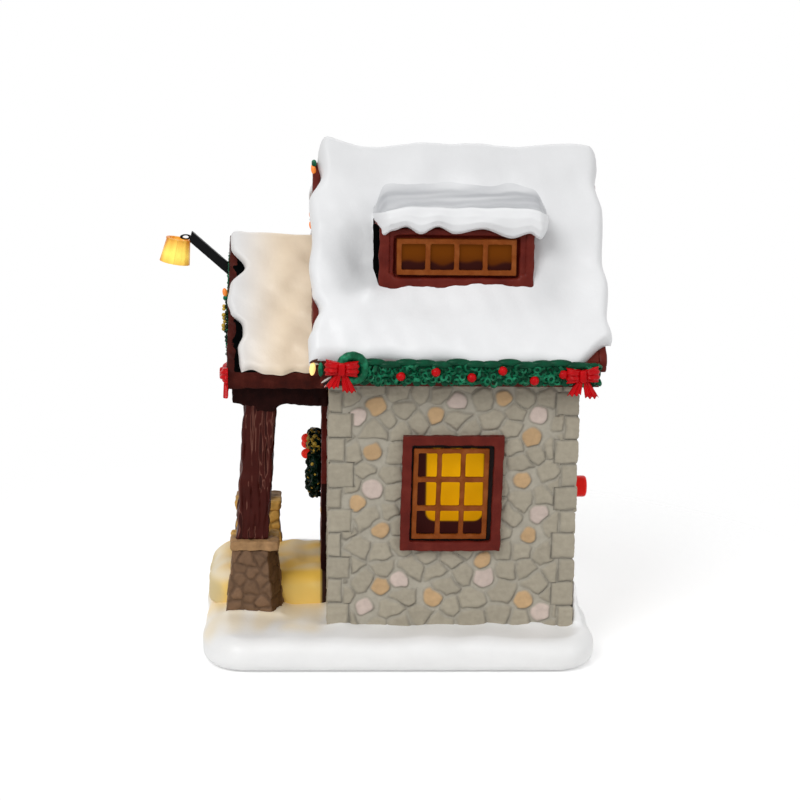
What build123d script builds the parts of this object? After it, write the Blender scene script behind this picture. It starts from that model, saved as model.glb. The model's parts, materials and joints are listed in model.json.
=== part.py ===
from build123d import *
import os
from math import cos, radians, sin, tan

# A lit ceramic village house with a snowy porch, a dormer on each slope and a battery lamp inside.
# Millimetres. +Z up, the front with its porch looks along -Y, the right side along +X,
# and the origin is the middle of the underside.

# Fits shared by all pieces
clearance = 0.25
seat_gap = 0.3
overrun = 1.0

# Snowy base
base_height = 12.0
side_margin = 17.0
house_setback = 45.3
rear_margin = 8.0
base_corner_radius = 16.0
base_top_radius = 6.0
base_foot_radius = 4.0
drift_height = 19.0
drift_reach = 4.5

# House walls
house_width = 95.0
house_depth = 90.3
wall_height = 99.5
wall_thickness = 5.0

# Main roof
main_pitch = 51.0
deck_thickness = 4.0
snow_thickness = 5.0
eave_reach = 4.5
fascia_thickness = 2.0
fascia_drop = 2.6
snow_lip = 2.5
front_overhang = 3.0
rear_overhang = 5.7
barge_thickness = 3.0
barge_drop = 2.0
snow_end_reach = 1.5
snow_ridge_round = 3.0

# Dormers
dormer_width = 55.7
dormer_shift = 1.5
dormer_front = 38.4
dormer_height = 28.2
dormer_pitch = 7.2
dormer_sash_width = 43.0
dormer_sash_height = 13.0
dormer_sash_rise = 17.9
dormer_recess = 3.0
dormer_ledge = 2.5
dormer_snow_width = 63.4
dormer_snow_shift = 1.2
dormer_snow_depth = 8.4
dormer_snow_reach = 2.2
dormer_snow_pitch = 8.0
dormer_snow_round = 3.0
dormer_pane_count = 4

# Side windows
window_width = 36.5
window_height = 43.0
window_rise = 50.5
window_shift = -0.4
frame_face = 3.5
frame_depth = 2.6
sash_gap = 1.05
sash_bar = 1.8
sash_thickness = 1.5
sash_seat = 1.2
sash_columns = 3
sash_rows = 3
pane_thickness = 1.2
pane_margin = 3.0
dormer_pane_thickness = 1.0

# Front door
platform_gap = 0.8
platform_side = 7.2
platform_reach = 43.0
platform_height = 12.0
platform_edge_radius = 4.0
platform_corner_radius = 6.0
door_width = 30.0
door_height = 56.0
door_thickness = 2.0
door_panel_margin = 4.0
door_panel_depth = 0.6
door_frame_face = 4.0
door_frame_depth = 3.5
knob_radius = 1.5
knob_drop = 2.0
knob_inset = 2.4
wreath_gap = 2.0
wreath_band = 6.5
wreath_thickness = 5.0
wreath_drop = 19.0
wreath_round = 1.8

# Porch
porch_pitch = 48.4
porch_reach = 33.4
porch_deck_thickness = 4.5
porch_snow_thickness = 2.4
porch_eave = 39.0
porch_snow_lip = 1.5
porch_gap = 10.4
porch_snow_ridge_round = 2.5
porch_barge_thickness = 3.3
gable_board_thickness = 3.0
gable_board_drop = 4.0
beam_width = 12.0
beam_height = 12.8
post_width = 11.5
post_chamfer = 0.8
post_setback = 7.1
pier_spacing = 54.0
pier_setback = 9.9
pier_height = 22.0
pier_top_width = 15.0
pier_foot_width = 19.4
pier_cap_width = 16.5
pier_cap_height = 3.5
pier_cap_round = 0.9

# Garlands, berries, bows, wreaths and lights
garland_height = 6.4
garland_thickness = 3.0
garland_front_inset = 8.5
garland_rear_inset = 0.5
leaf_radius = 2.0
leaf_pitch = 4.6
berry_radius = 1.6
berry_gap = 0.2
berry_places_shares = (0.12, 0.31, 0.51, 0.67, 0.845, 1.0)
eave_wreath_diameter = 11.8
eave_wreath_band = 3.0
eave_wreath_thickness = 1.5
eave_wreath_place = 12.5
eave_wreath_lift = -1.5
bow_width = 11.6
bow_height = 12.5
bow_thickness = 2.0
bow_knot = 3.0
bow_loop_height = 6.6
bow_tail_width = 3.2
bow_tail_spread = 3.6
front_bow_place = 9.0
rear_bow_place = 5.5
bow_lift = 0.8
bulb_radius = 1.8
gable_bulb_shares = (0.3, 0.62, 0.95)
porch_bulb_shares = (0.43, 0.87)
bulb_level_share = 0.32
porch_garland_height = 3.0
porch_garland_thickness = 1.8
porch_garland_start = 4.0
porch_garland_gap = 1.2
porch_bow_place = 36.0

# Porch lamp
arm_thickness = 3.2
arm_width = 3.0
arm_angle = 45.0
arm_length = 26.4
arm_rise = 39.6
arm_tip_length = 5.2
arm_tip_thickness = 2.0
arm_pin_radius = 0.9
shade_top_radius = 4.2
shade_bottom_radius = 5.6
shade_height = 9.4
shade_wall = 0.7
shade_tilt = 10.0
shade_drop = 3.0
bulb_stem_radius = 1.2
bulb_stem_length = 2.6

# Battery light unit in the underside
well_margin = 6.0
cover_rim = 5.0
cover_thickness = 3.0
cell_diameter = 10.5
cell_length = 44.5
cell_count = 3
cell_gap = 0.6
nub_radius = 1.9
nub_length = 0.8
contact_room = 3.0
contact_plate_thickness = 0.6
contact_plate_width = 8.0
spring_radius = 3.0
spring_wire = 0.7
tray_wall = 1.6
tray_back_gap = 1.0
door_recess = 0.4
door_plate = 1.8
door_ledge = 0.3
hinge_radius = 1.2
hinge_pin_radius = 0.7
hinge_pin_length = 1.5
pin_clearance = 0.15
thumb_notch_radius = 5.0
thumb_notch_depth = 0.8
screw_inset = 8.0
screw_shank_radius = 1.0
screw_head_radius = 2.0
screw_head_height = 1.2
screw_length = 8.0
board_width = 40.0
board_thickness = 1.6
board_edge_gap = 3.0
standoff_radius = 2.0
standoff_height = 5.0
standoff_spacing = 30.0
led_radius = 2.5
led_flange = 0.4
led_flange_height = 1.0
led_height = 6.0
lead_radius = 0.6
lead_inset = 4.0
lead_spread = 14.0
lead_loop = 6.0
lead_climb = 16.0
cell_lead_bend = 4.0
switch_lead_bend = 9.0

# Push switch in the back wall
switch_rise = 40.0
switch_body_width = 15.0
switch_body_depth = 9.0
neck_radius = 6.0
neck_reach = 2.9
neck_lip = 1.2
nut_radius = 7.6
nut_thickness = 2.2
button_radius = 4.15
button_reach = 7.9
button_flange = 0.65
button_flange_height = 3.0
button_round = 1.2
button_spring_room = 4.0
button_spring_wall = 0.8

# Worked-out places
base_width = house_width + 2 * side_margin
base_depth = house_setback + house_depth + rear_margin
house_front = house_setback - base_depth / 2
house_back = base_depth / 2 - rear_margin
house_middle = (house_front + house_back) / 2
house_half = house_width / 2
wall_top = base_height + wall_height
main_slope = tan(radians(main_pitch))
deck_base_ridge = wall_top + house_half * main_slope
deck_ridge = deck_base_ridge + deck_thickness / cos(radians(main_pitch))
snow_ridge = deck_ridge + snow_thickness / cos(radians(main_pitch))
eave_x = house_half + eave_reach
fascia_x = eave_x + fascia_thickness
lip_x = fascia_x + snow_lip
eave_top = deck_ridge - eave_x * main_slope
eave_bottom = deck_base_ridge - eave_x * main_slope
fascia_bottom = eave_bottom - fascia_drop
deck_front = house_front - front_overhang
deck_back = house_back + rear_overhang
gable_front = deck_front - barge_thickness
gable_back = deck_back + barge_thickness
platform_width = pier_spacing - pier_foot_width + 2 * platform_side
pier_notch = pier_foot_width + 2 * platform_gap
platform_top = base_height + platform_height
wreath_diameter = door_width - 2 * wreath_gap
switch_z = base_height + switch_rise

pier_y = house_front - porch_reach + pier_setback - porch_barge_thickness
cap_top = base_height + pier_height + pier_cap_height
beam_outer = pier_spacing / 2 + beam_width / 2
beam_inner = pier_spacing / 2 - beam_width / 2
porch_slope = tan(radians(porch_pitch))
barge_fall = barge_drop / cos(radians(main_pitch))
porch_snow_ridge = deck_base_ridge - barge_fall - porch_eave * (main_slope - porch_slope) - porch_gap
porch_ridge = porch_snow_ridge - porch_snow_thickness / cos(radians(porch_pitch))
porch_base_ridge = porch_ridge - porch_deck_thickness / cos(radians(porch_pitch))
beam_bottom = porch_base_ridge - beam_outer * porch_slope - beam_height
porch_front = house_front - porch_reach
porch_gable_front = porch_front - porch_barge_thickness

cavity_half = house_half - wall_thickness
well_half = cavity_half - well_margin
well_front = house_front + wall_thickness + well_margin
well_back = house_back - wall_thickness - well_margin

os.makedirs("parts", exist_ok=True)


def save(piece, name):
    piece.part.label = name
    export_step(piece.part, f"parts/{name}.step")


def span_box(x_span, y_span, z_span, mode=Mode.ADD):
    spans = (x_span, y_span, z_span)
    with Locations(tuple(sum(span) / 2 for span in spans)):
        Box(*(abs(span[1] - span[0]) for span in spans), mode=mode)


def section_at(y):
    """Sketch plane across the house at y; its drawing axes are X and Z."""
    return Plane.XZ.offset(-y)


def side_plane(sign, x, y, z):
    """Sketch plane on a side face; it looks outwards and its drawing axes are sign*Y and Z."""
    return Plane(origin=(sign * x, y, z), x_dir=(0, sign, 0), z_dir=(sign, 0, 0))


def front_plane(x, y, z):
    return Plane(origin=(x, y, z), x_dir=(1, 0, 0), z_dir=(0, -1, 0))


def across(points, y_from, y_to, mode=Mode.ADD):
    """An outline in X and Z, run along Y."""
    with BuildSketch(section_at(y_from)) as profile:
        with BuildLine():
            Polyline(*points, close=True)
        make_face()
    extrude(profile.sketch, amount=y_from - y_to, mode=mode)


def both_sides(right_points):
    """A gable outline from its right half, whose first and last points lie on the ridge."""
    left = [(-x, z) for x, z in right_points[-2:0:-1]]
    return list(right_points) + left


def meet(start_x, start_z, slope, other_ridge, other_slope):
    """Where the line that rises inwards from a point meets a roof plane."""
    x = (other_ridge - start_z - slope * start_x) / (other_slope - slope)
    return (x, other_ridge - other_slope * x)


def dormer_outline(sign):
    foot = (dormer_front, deck_ridge - main_slope * dormer_front)
    head = (dormer_front, foot[1] + dormer_height)
    back = meet(*head, tan(radians(dormer_pitch)), deck_ridge, main_slope)
    return [(sign * x, z) for x, z in (foot, head, back)]


def dormer_passage(sign, mode):
    """The level light way from the attic to the sash."""
    middle = house_middle + dormer_shift
    low = deck_ridge - main_slope * dormer_front + dormer_sash_rise
    half_width = dormer_sash_width / 2 - dormer_ledge
    half_height = dormer_sash_height / 2 - dormer_ledge
    span_box((0, sign * (dormer_front - dormer_recess)), (middle - half_width, middle + half_width),
             (low - half_height, low + half_height), mode)


def lattice(plane, width, height, columns, rows, bar, thickness):
    pane_width = (width - bar * (columns + 1)) / columns
    pane_height = (height - bar * (rows + 1)) / rows
    with BuildSketch(plane) as grid:
        Rectangle(width, height)
        with GridLocations(pane_width + bar, pane_height + bar, columns, rows):
            Rectangle(pane_width, pane_height, mode=Mode.SUBTRACT)
    extrude(grid.sketch, amount=thickness)


def ring(plane, diameter, band, thickness):
    with BuildSketch(plane) as outline:
        Circle(diameter / 2)
        Circle(diameter / 2 - band, mode=Mode.SUBTRACT)
    extrude(outline.sketch, amount=thickness)


def bow(plane):
    """A ribbon bow: two loops, a knot and two tails, flat on its back."""
    loop_centre = bow_width / 4 + bow_knot / 8
    loop_middle = bow_height / 2 - bow_loop_height / 2
    with BuildSketch(plane) as outline:
        with Locations((0, loop_middle)):
            Rectangle(bow_knot, bow_knot)
        for side in (-1, 1):
            with Locations((side * loop_centre, loop_middle)):
                Ellipse(bow_width / 2 - loop_centre, bow_loop_height / 2)
            with BuildLine():
                Polyline((0, loop_middle), (side * bow_tail_width, loop_middle),
                         (side * (bow_tail_spread + bow_tail_width / 2), -bow_height / 2),
                         (side * (bow_tail_spread - bow_tail_width / 2), -bow_height / 2), close=True)
            make_face()
    extrude(outline.sketch, amount=bow_thickness)


def dome(plane, radius):
    """A ball cut flat on the face that carries it."""
    with Locations(plane.location):
        Sphere(radius, arc_size1=0, align=(Align.CENTER, Align.CENTER, Align.MIN))


# Snowy base: a rounded slab with a drift against the back wall and a well below the house
cover_seat_x = (-well_half - cover_rim, well_half + cover_rim)
cover_seat_y = (well_front - cover_rim, well_back + cover_rim)
screw_grid = GridLocations(2 * well_half + cover_rim, well_back - well_front - 2 * screw_inset, 2, 2)
screw_spots = [(spot.position.X, spot.position.Y + house_middle) for spot in screw_grid]

with BuildPart() as base_shell:
    with BuildSketch():
        RectangleRounded(base_width, base_depth, base_corner_radius)
    extrude(amount=base_height)
    fillet(base_shell.edges().group_by(Axis.Z)[-1], base_top_radius)
    fillet(base_shell.edges().group_by(Axis.Z)[0], base_foot_radius)
    with BuildSketch(Plane.YZ.offset(-house_half)) as drift:
        with BuildLine():
            Polyline((house_back, base_height - overrun), (house_back, base_height + drift_height),
                     (house_back + drift_reach, base_height - overrun), close=True)
        make_face()
    extrude(drift.sketch, amount=2 * house_half)
    span_box((-well_half, well_half), (well_front, well_back), (-overrun, base_height + overrun),
             Mode.SUBTRACT)
    span_box(cover_seat_x, cover_seat_y, (-overrun, cover_thickness), Mode.SUBTRACT)
    with Locations(*[(x, y, cover_thickness) for x, y in screw_spots]):
        Cylinder(screw_shank_radius, screw_length - cover_thickness + screw_head_height,
                 align=(Align.CENTER, Align.CENTER, Align.MIN), mode=Mode.SUBTRACT)
save(base_shell, "base_shell")

# Battery light unit: cover plate, tray, hinged door, cells, contacts, board and lamp
door_top = door_recess + door_plate
hinge_z = door_recess + hinge_radius
tray_length = cell_length + 2 * contact_room
tray_breadth = cell_count * cell_diameter + (cell_count + 1) * cell_gap
tray_back = well_back - tray_back_gap - tray_wall
tray_front = tray_back - tray_breadth
tray_ceiling = door_top + cell_diameter + 2 * seat_gap
opening_half = tray_length / 2 - door_ledge
opening_front = tray_front + door_ledge
opening_back = tray_back - door_ledge
door_half = opening_half - clearance
hinge_y = opening_back - clearance - hinge_radius
board_front = well_front + board_edge_gap
board_back = tray_front - tray_wall - board_edge_gap
board_middle = (board_front + board_back) / 2
board_bottom = cover_thickness + standoff_height
cell_z = door_top + seat_gap + cell_diameter / 2
cell_rows = [tray_front + cell_gap + cell_diameter / 2 + (cell_diameter + cell_gap) * row
             for row in range(cell_count)]
across_x = (0, 90, 0)

with BuildPart() as base_cover:
    span_box((cover_seat_x[0] + clearance, cover_seat_x[1] - clearance),
             (cover_seat_y[0] + clearance, cover_seat_y[1] - clearance), (0, cover_thickness))
    span_box((-opening_half, opening_half), (opening_front, opening_back), (0, cover_thickness),
             Mode.SUBTRACT)
    with Locations((0, hinge_y, hinge_z)):
        Cylinder(hinge_pin_radius + pin_clearance, 2 * (door_half + hinge_pin_length + seat_gap),
                 rotation=across_x, mode=Mode.SUBTRACT)
    with Locations(*[(x, y, 0) for x, y in screw_spots]):
        Cylinder(screw_shank_radius + clearance, cover_thickness,
                 align=(Align.CENTER, Align.CENTER, Align.MIN), mode=Mode.SUBTRACT)
        Cylinder(screw_head_radius + clearance, screw_head_height,
                 align=(Align.CENTER, Align.CENTER, Align.MIN), mode=Mode.SUBTRACT)
    with Locations((0, board_middle, cover_thickness)):
        with GridLocations(standoff_spacing, 0, 2, 1):
            Cylinder(standoff_radius, standoff_height, align=(Align.CENTER, Align.CENTER, Align.MIN))
save(base_cover, "base_cover")

with BuildPart() as cover_screws:
    with Locations(*[(x, y, 0) for x, y in screw_spots]):
        Cylinder(screw_shank_radius, screw_length, align=(Align.CENTER, Align.CENTER, Align.MIN))
        Cylinder(screw_head_radius, screw_head_height, align=(Align.CENTER, Align.CENTER, Align.MIN))
save(cover_screws, "cover_screws")

with BuildPart() as battery_tray:
    span_box((-tray_length / 2 - tray_wall, tray_length / 2 + tray_wall),
             (tray_front - tray_wall, tray_back + tray_wall), (cover_thickness, tray_ceiling + tray_wall))
    span_box((-tray_length / 2, tray_length / 2), (tray_front, tray_back), (cover_thickness, tray_ceiling),
             Mode.SUBTRACT)
save(battery_tray, "battery_tray")

with BuildPart() as battery_door:
    span_box((-door_half, door_half), (opening_front + clearance, hinge_y), (door_recess, door_top))
    with Locations((0, hinge_y, hinge_z)):
        Cylinder(hinge_radius, 2 * door_half, rotation=across_x)
        Cylinder(hinge_pin_radius, 2 * (door_half + hinge_pin_length), rotation=across_x)
    with Locations((0, opening_front + clearance, door_recess)):
        Cylinder(thumb_notch_radius, 2 * thumb_notch_depth, mode=Mode.SUBTRACT)
save(battery_door, "battery_door")

with BuildPart() as battery_cells:
    for row, cell_y in enumerate(cell_rows):
        nub_side = 1 if row % 2 == 0 else -1
        with Locations((0, cell_y, cell_z)):
            Cylinder(cell_diameter / 2, cell_length, rotation=across_x)
        with Locations((nub_side * (cell_length + nub_length) / 2, cell_y, cell_z)):
            Cylinder(nub_radius, nub_length, rotation=across_x)
save(battery_cells, "battery_cells")

with BuildPart() as contact_plates:
    for row, cell_y in enumerate(cell_rows):
        nub_side = 1 if row % 2 == 0 else -1
        plate_x = nub_side * (tray_length - contact_plate_thickness) / 2
        with Locations((plate_x, cell_y, cell_z)):
            Box(contact_plate_thickness, contact_plate_width, contact_plate_width)
        bump = contact_room - contact_plate_thickness - nub_length
        with Locations((plate_x - nub_side * (contact_plate_thickness + bump) / 2, cell_y, cell_z)):
            Cylinder(nub_radius, bump, rotation=across_x)
save(contact_plates, "contact_plates")

with BuildPart() as contact_springs:
    for row, cell_y in enumerate(cell_rows):
        spring_side = -1 if row % 2 == 0 else 1
        with Locations((spring_side * (cell_length + contact_room) / 2, cell_y, cell_z)):
            Cylinder(spring_radius, contact_room, rotation=across_x)
            Cylinder(spring_radius - spring_wire, contact_room, rotation=across_x, mode=Mode.SUBTRACT)
save(contact_springs, "contact_springs")

with BuildPart() as led_board:
    span_box((-board_width / 2, board_width / 2), (board_front, board_back),
             (board_bottom, board_bottom + board_thickness))
save(led_board, "led_board")

with BuildPart() as main_led:
    with Locations((0, board_middle, board_bottom + board_thickness)):
        Cylinder(led_radius + led_flange, led_flange_height,
                 align=(Align.CENTER, Align.CENTER, Align.MIN))
        Cylinder(led_radius, led_height, align=(Align.CENTER, Align.CENTER, Align.MIN))
    with Locations((0, board_middle, board_bottom + board_thickness + led_height)):
        Sphere(led_radius)
save(main_led, "main_led")

# Leads from the cells to the board and from the board to the switch
board_top = board_bottom + board_thickness
lead_end_y = board_back - lead_inset
cell_lead = [(-lead_spread, tray_front + lead_inset, tray_ceiling + tray_wall),
             (-lead_spread, tray_front + lead_inset, tray_ceiling + tray_wall + lead_loop),
             (-lead_spread, lead_end_y, tray_ceiling + tray_wall + lead_loop),
             (-lead_spread, lead_end_y, board_top)]
switch_lead_y = house_back - wall_thickness - switch_body_depth / 2
switch_lead_z = switch_z - switch_body_width / 2
switch_lead = [(lead_spread, lead_end_y, board_top), (lead_spread, lead_end_y, board_top + lead_climb),
               (0, switch_lead_y, board_top + lead_climb), (0, switch_lead_y, switch_lead_z)]

with BuildPart() as inner_leads:
    for route, bend in ((cell_lead, cell_lead_bend), (switch_lead, switch_lead_bend)):
        with BuildLine() as lead_line:
            FilletPolyline(*route, radius=bend)
        with BuildSketch(Plane(origin=route[0], z_dir=(0, 0, 1))) as lead_section:
            Circle(lead_radius)
        sweep(lead_section.sketch, path=lead_line.wire())
save(inner_leads, "inner_leads")

# House walls: four walls under a gable, open to the roof and to the well below
window_y = house_middle + window_shift
window_z = base_height + window_rise
sash_width = window_width - 2 * frame_face - 2 * sash_gap
sash_height = window_height - 2 * frame_face - 2 * sash_gap
light_width = sash_width - 2 * sash_seat
light_height = sash_height - 2 * sash_seat

with BuildPart() as house_walls:
    across(both_sides([(0, base_height), (house_half, base_height), (house_half, wall_top),
                       (0, deck_base_ridge)]), house_front, house_back)
    span_box((-cavity_half, cavity_half), (house_front + wall_thickness, house_back - wall_thickness),
             (base_height, deck_base_ridge), Mode.SUBTRACT)
    with Locations((0, window_y, window_z)):
        Box(2 * house_half, light_width, light_height, mode=Mode.SUBTRACT)
    with BuildSketch(section_at(house_back)) as switch_hole:
        with Locations((0, switch_z)):
            Circle(neck_radius + clearance)
    extrude(switch_hole.sketch, amount=wall_thickness, mode=Mode.SUBTRACT)
save(house_walls, "house_walls")

# Push switch: body with its threaded neck, nut, spring and red button
inner_back = house_back - wall_thickness
bore_radius = button_radius + button_flange + clearance
neck_end = house_back + neck_reach
lip_start = neck_end - neck_lip
flange_top = lip_start - seat_gap
flange_bottom = flange_top - button_flange_height
bore_bottom = flange_bottom - button_spring_room


def turned(radius, y_from, y_to, mode=Mode.ADD):
    """A round length on the switch's axis."""
    with BuildSketch(section_at(y_from)) as disc:
        with Locations((0, switch_z)):
            Circle(radius)
    extrude(disc.sketch, amount=y_from - y_to, mode=mode)


with BuildPart() as switch_body:
    span_box((-switch_body_width / 2, switch_body_width / 2), (inner_back - switch_body_depth, inner_back),
             (switch_z - switch_body_width / 2, switch_z + switch_body_width / 2))
    turned(neck_radius, inner_back, neck_end)
    turned(bore_radius, bore_bottom, lip_start, Mode.SUBTRACT)
    turned(button_radius + clearance, lip_start, neck_end, Mode.SUBTRACT)
save(switch_body, "switch_body")

with BuildPart() as switch_nut:
    with BuildSketch(section_at(house_back)) as hexagon:
        with Locations((0, switch_z)):
            RegularPolygon(nut_radius, 6)
            Circle(neck_radius + pin_clearance, mode=Mode.SUBTRACT)
    extrude(hexagon.sketch, amount=-nut_thickness)
save(switch_nut, "switch_nut")

with BuildPart() as power_button:
    turned(button_radius + button_flange, flange_bottom, flange_top)
    turned(button_radius, flange_top, house_back + button_reach)
    fillet(power_button.edges().group_by(Axis.Y)[-1], button_round)
save(power_button, "power_button")

with BuildPart() as button_spring:
    turned(button_radius, bore_bottom, flange_bottom)
    turned(button_radius - button_spring_wall, bore_bottom, flange_bottom, Mode.SUBTRACT)
save(button_spring, "button_spring")

# Side windows: frame on the wall, lattice inside it and a pane on the wall's inner face
for side_name, sign in (("right", 1), ("left", -1)):
    with BuildPart() as window_frame:
        with BuildSketch(side_plane(sign, house_half, window_y, window_z)) as frame_face_outline:
            Rectangle(window_width, window_height)
            Rectangle(window_width - 2 * frame_face, window_height - 2 * frame_face, mode=Mode.SUBTRACT)
        extrude(frame_face_outline.sketch, amount=frame_depth)
    save(window_frame, f"window_frame_{side_name}")

    with BuildPart() as window_lattice:
        lattice(side_plane(sign, house_half, window_y, window_z), sash_width, sash_height,
                sash_columns, sash_rows, sash_bar, sash_thickness)
    save(window_lattice, f"window_lattice_{side_name}")

    with BuildPart() as window_pane:
        with BuildSketch(side_plane(sign, cavity_half - pane_thickness, window_y, window_z)) as glass:
            Rectangle(light_width + 2 * pane_margin, light_height + 2 * pane_margin)
        extrude(glass.sketch, amount=pane_thickness)
    save(window_pane, f"window_pane_{side_name}")

# Main roof: deck with its fascias, barge boards and the snow on top
with BuildPart() as roof_deck:
    across(both_sides([(0, deck_ridge), (eave_x, eave_top), (fascia_x, eave_top), (fascia_x, fascia_bottom),
                       (eave_x, fascia_bottom), (eave_x, eave_bottom), (0, deck_base_ridge)]),
           deck_front, deck_back)
    for sign in (1, -1):
        dormer_passage(sign, Mode.SUBTRACT)
save(roof_deck, "roof_deck")

barge_outline = both_sides([(0, deck_ridge), (eave_x, eave_top), (eave_x, eave_bottom - barge_fall),
                            (0, deck_base_ridge - barge_fall)])
for name, barge_from, barge_to in (("front_bargeboards", gable_front, deck_front),
                                   ("rear_bargeboards", deck_back, gable_back)):
    with BuildPart() as bargeboards:
        across(barge_outline, barge_from, barge_to)
    save(bargeboards, name)

with BuildPart() as roof_snow:
    across(both_sides([(0, snow_ridge), (lip_x, snow_ridge - lip_x * main_slope), (lip_x, eave_top),
                       (eave_x, eave_top), (0, deck_ridge)]), gable_front, gable_back + snow_end_reach)
    fillet(roof_snow.edges().group_by(Axis.Z)[-1], snow_ridge_round)
    for sign in (1, -1):
        across(dormer_outline(sign), house_middle + dormer_shift - dormer_width / 2,
               house_middle + dormer_shift + dormer_width / 2, Mode.SUBTRACT)
save(roof_snow, "roof_snow")

# Dormers: body with a recessed sash, lattice, pane and snow cap
dormer_y = house_middle + dormer_shift
sash_floor = dormer_front - dormer_recess
sash_z = deck_ridge - main_slope * dormer_front + dormer_sash_rise
dormer_head = deck_ridge - main_slope * dormer_front + dormer_height

for side_name, sign in (("right", 1), ("left", -1)):
    with BuildPart() as dormer_body:
        across(dormer_outline(sign), dormer_y - dormer_width / 2, dormer_y + dormer_width / 2)
        with BuildSketch(side_plane(sign, sash_floor, dormer_y, sash_z)) as recess:
            Rectangle(dormer_sash_width + 2 * sash_gap, dormer_sash_height + 2 * sash_gap)
        extrude(recess.sketch, amount=dormer_recess, mode=Mode.SUBTRACT)
        dormer_passage(sign, Mode.SUBTRACT)
    save(dormer_body, f"dormer_body_{side_name}")

    with BuildPart() as dormer_pane:
        with BuildSketch(side_plane(sign, sash_floor, dormer_y, sash_z)) as glass:
            Rectangle(dormer_sash_width, dormer_sash_height)
        extrude(glass.sketch, amount=dormer_pane_thickness)
    save(dormer_pane, f"dormer_pane_{side_name}")

    with BuildPart() as dormer_lattice:
        lattice(side_plane(sign, sash_floor + dormer_pane_thickness, dormer_y, sash_z),
                dormer_sash_width, dormer_sash_height, dormer_pane_count, 1, sash_bar, sash_thickness)
    save(dormer_lattice, f"dormer_lattice_{side_name}")

    with BuildPart() as dormer_snow:
        hood_front = dormer_front + dormer_snow_reach
        hood_top = dormer_head + dormer_snow_depth
        under_back = meet(dormer_front, dormer_head, tan(radians(dormer_pitch)), snow_ridge, main_slope)
        over_back = meet(hood_front, hood_top, tan(radians(dormer_snow_pitch)), snow_ridge, main_slope)
        hood = [(hood_front, dormer_head), (hood_front, hood_top), over_back, under_back,
                (dormer_front, dormer_head)]
        hood_middle = dormer_y + dormer_snow_shift
        across([(sign * x, z) for x, z in hood], hood_middle - dormer_snow_width / 2,
               hood_middle + dormer_snow_width / 2)
        fillet(dormer_snow.edges().filter_by(Axis.Y).group_by(Axis.Z)[1], dormer_snow_round)
    save(dormer_snow, f"dormer_snow_{side_name}")

# Front door on its raised platform
door_foot = platform_top
door_face = house_front - door_thickness

with BuildPart() as porch_platform:
    span_box((-platform_width / 2, platform_width / 2), (house_front - platform_reach, house_front),
             (base_height, platform_top))
    fillet(porch_platform.edges().filter_by(Axis.Z).group_by(Axis.Y)[0], platform_corner_radius)
    fillet(porch_platform.faces().sort_by(Axis.Z)[-1].edges().sort_by(Axis.Y)[:-1], platform_edge_radius)
    with Locations((0, pier_y, base_height)):
        with GridLocations(pier_spacing, 0, 2, 1):
            Box(pier_notch, pier_notch, platform_height, mode=Mode.SUBTRACT,
                align=(Align.CENTER, Align.CENTER, Align.MIN))
save(porch_platform, "porch_platform")

with BuildPart() as front_door:
    span_box((-door_width / 2, door_width / 2), (door_face, house_front),
             (door_foot, door_foot + door_height))
    panel_height = (door_height - 3 * door_panel_margin) / 2
    with BuildSketch(front_plane(0, door_face, door_foot + door_height / 2)) as panels:
        with GridLocations(0, panel_height + door_panel_margin, 1, 2):
            Rectangle(door_width - 2 * door_panel_margin, panel_height)
    extrude(panels.sketch, amount=-door_panel_depth, mode=Mode.SUBTRACT)
save(front_door, "front_door")

with BuildPart() as door_frame:
    frame_half = door_width / 2 + door_frame_face
    span_box((-frame_half, frame_half), (house_front - door_frame_depth, house_front),
             (door_foot, door_foot + door_height + door_frame_face))
    span_box((-door_width / 2, door_width / 2), (house_front - door_frame_depth, house_front),
             (door_foot, door_foot + door_height), Mode.SUBTRACT)
save(door_frame, "door_frame")

wreath_z = door_foot + door_height - wreath_drop
knob_z = wreath_z - wreath_diameter / 2 - knob_drop

with BuildPart() as door_knob:
    dome(front_plane(door_width / 2 - knob_inset, door_face, knob_z), knob_radius)
save(door_knob, "door_knob")

with BuildPart() as door_wreath:
    ring(front_plane(0, door_face, wreath_z), wreath_diameter, wreath_band, wreath_thickness)
    fillet(door_wreath.faces().sort_by(Axis.Y)[0].edges(), wreath_round)
save(door_wreath, "door_wreath")

# Porch: piers, caps, posts and beams carry the small gable roof
post_y = porch_front + post_setback

for side_name, sign in (("right", 1), ("left", -1)):
    pier_x = sign * pier_spacing / 2
    with BuildPart() as porch_pier:
        with BuildSketch(Plane.XY.offset(base_height)):
            with Locations((pier_x, pier_y)):
                Rectangle(pier_foot_width, pier_foot_width)
        with BuildSketch(Plane.XY.offset(base_height + pier_height)):
            with Locations((pier_x, pier_y)):
                Rectangle(pier_top_width, pier_top_width)
        loft()
    save(porch_pier, f"porch_pier_{side_name}")

    with BuildPart() as porch_post:
        with Locations((pier_x, post_y, cap_top)):
            Box(post_width, post_width, beam_bottom - cap_top,
                align=(Align.CENTER, Align.CENTER, Align.MIN))
        chamfer(porch_post.edges().filter_by(Axis.Z), post_chamfer)
    save(porch_post, f"porch_post_{side_name}")

    with BuildPart() as porch_beam:
        beam = [(beam_inner, beam_bottom), (beam_outer, beam_bottom),
                (beam_outer, porch_base_ridge - beam_outer * porch_slope),
                (beam_inner, porch_base_ridge - beam_inner * porch_slope)]
        across([(sign * x, z) for x, z in beam], porch_front, house_front)
    save(porch_beam, f"porch_beam_{side_name}")

with BuildPart() as pier_caps:
    with Locations((0, pier_y, base_height + pier_height)):
        with GridLocations(pier_spacing, 0, 2, 1):
            Box(pier_cap_width, pier_cap_width, pier_cap_height,
                align=(Align.CENTER, Align.CENTER, Align.MIN))
    fillet(pier_caps.edges().filter_by(Axis.Z), pier_cap_round)
save(pier_caps, "pier_caps")

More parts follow.
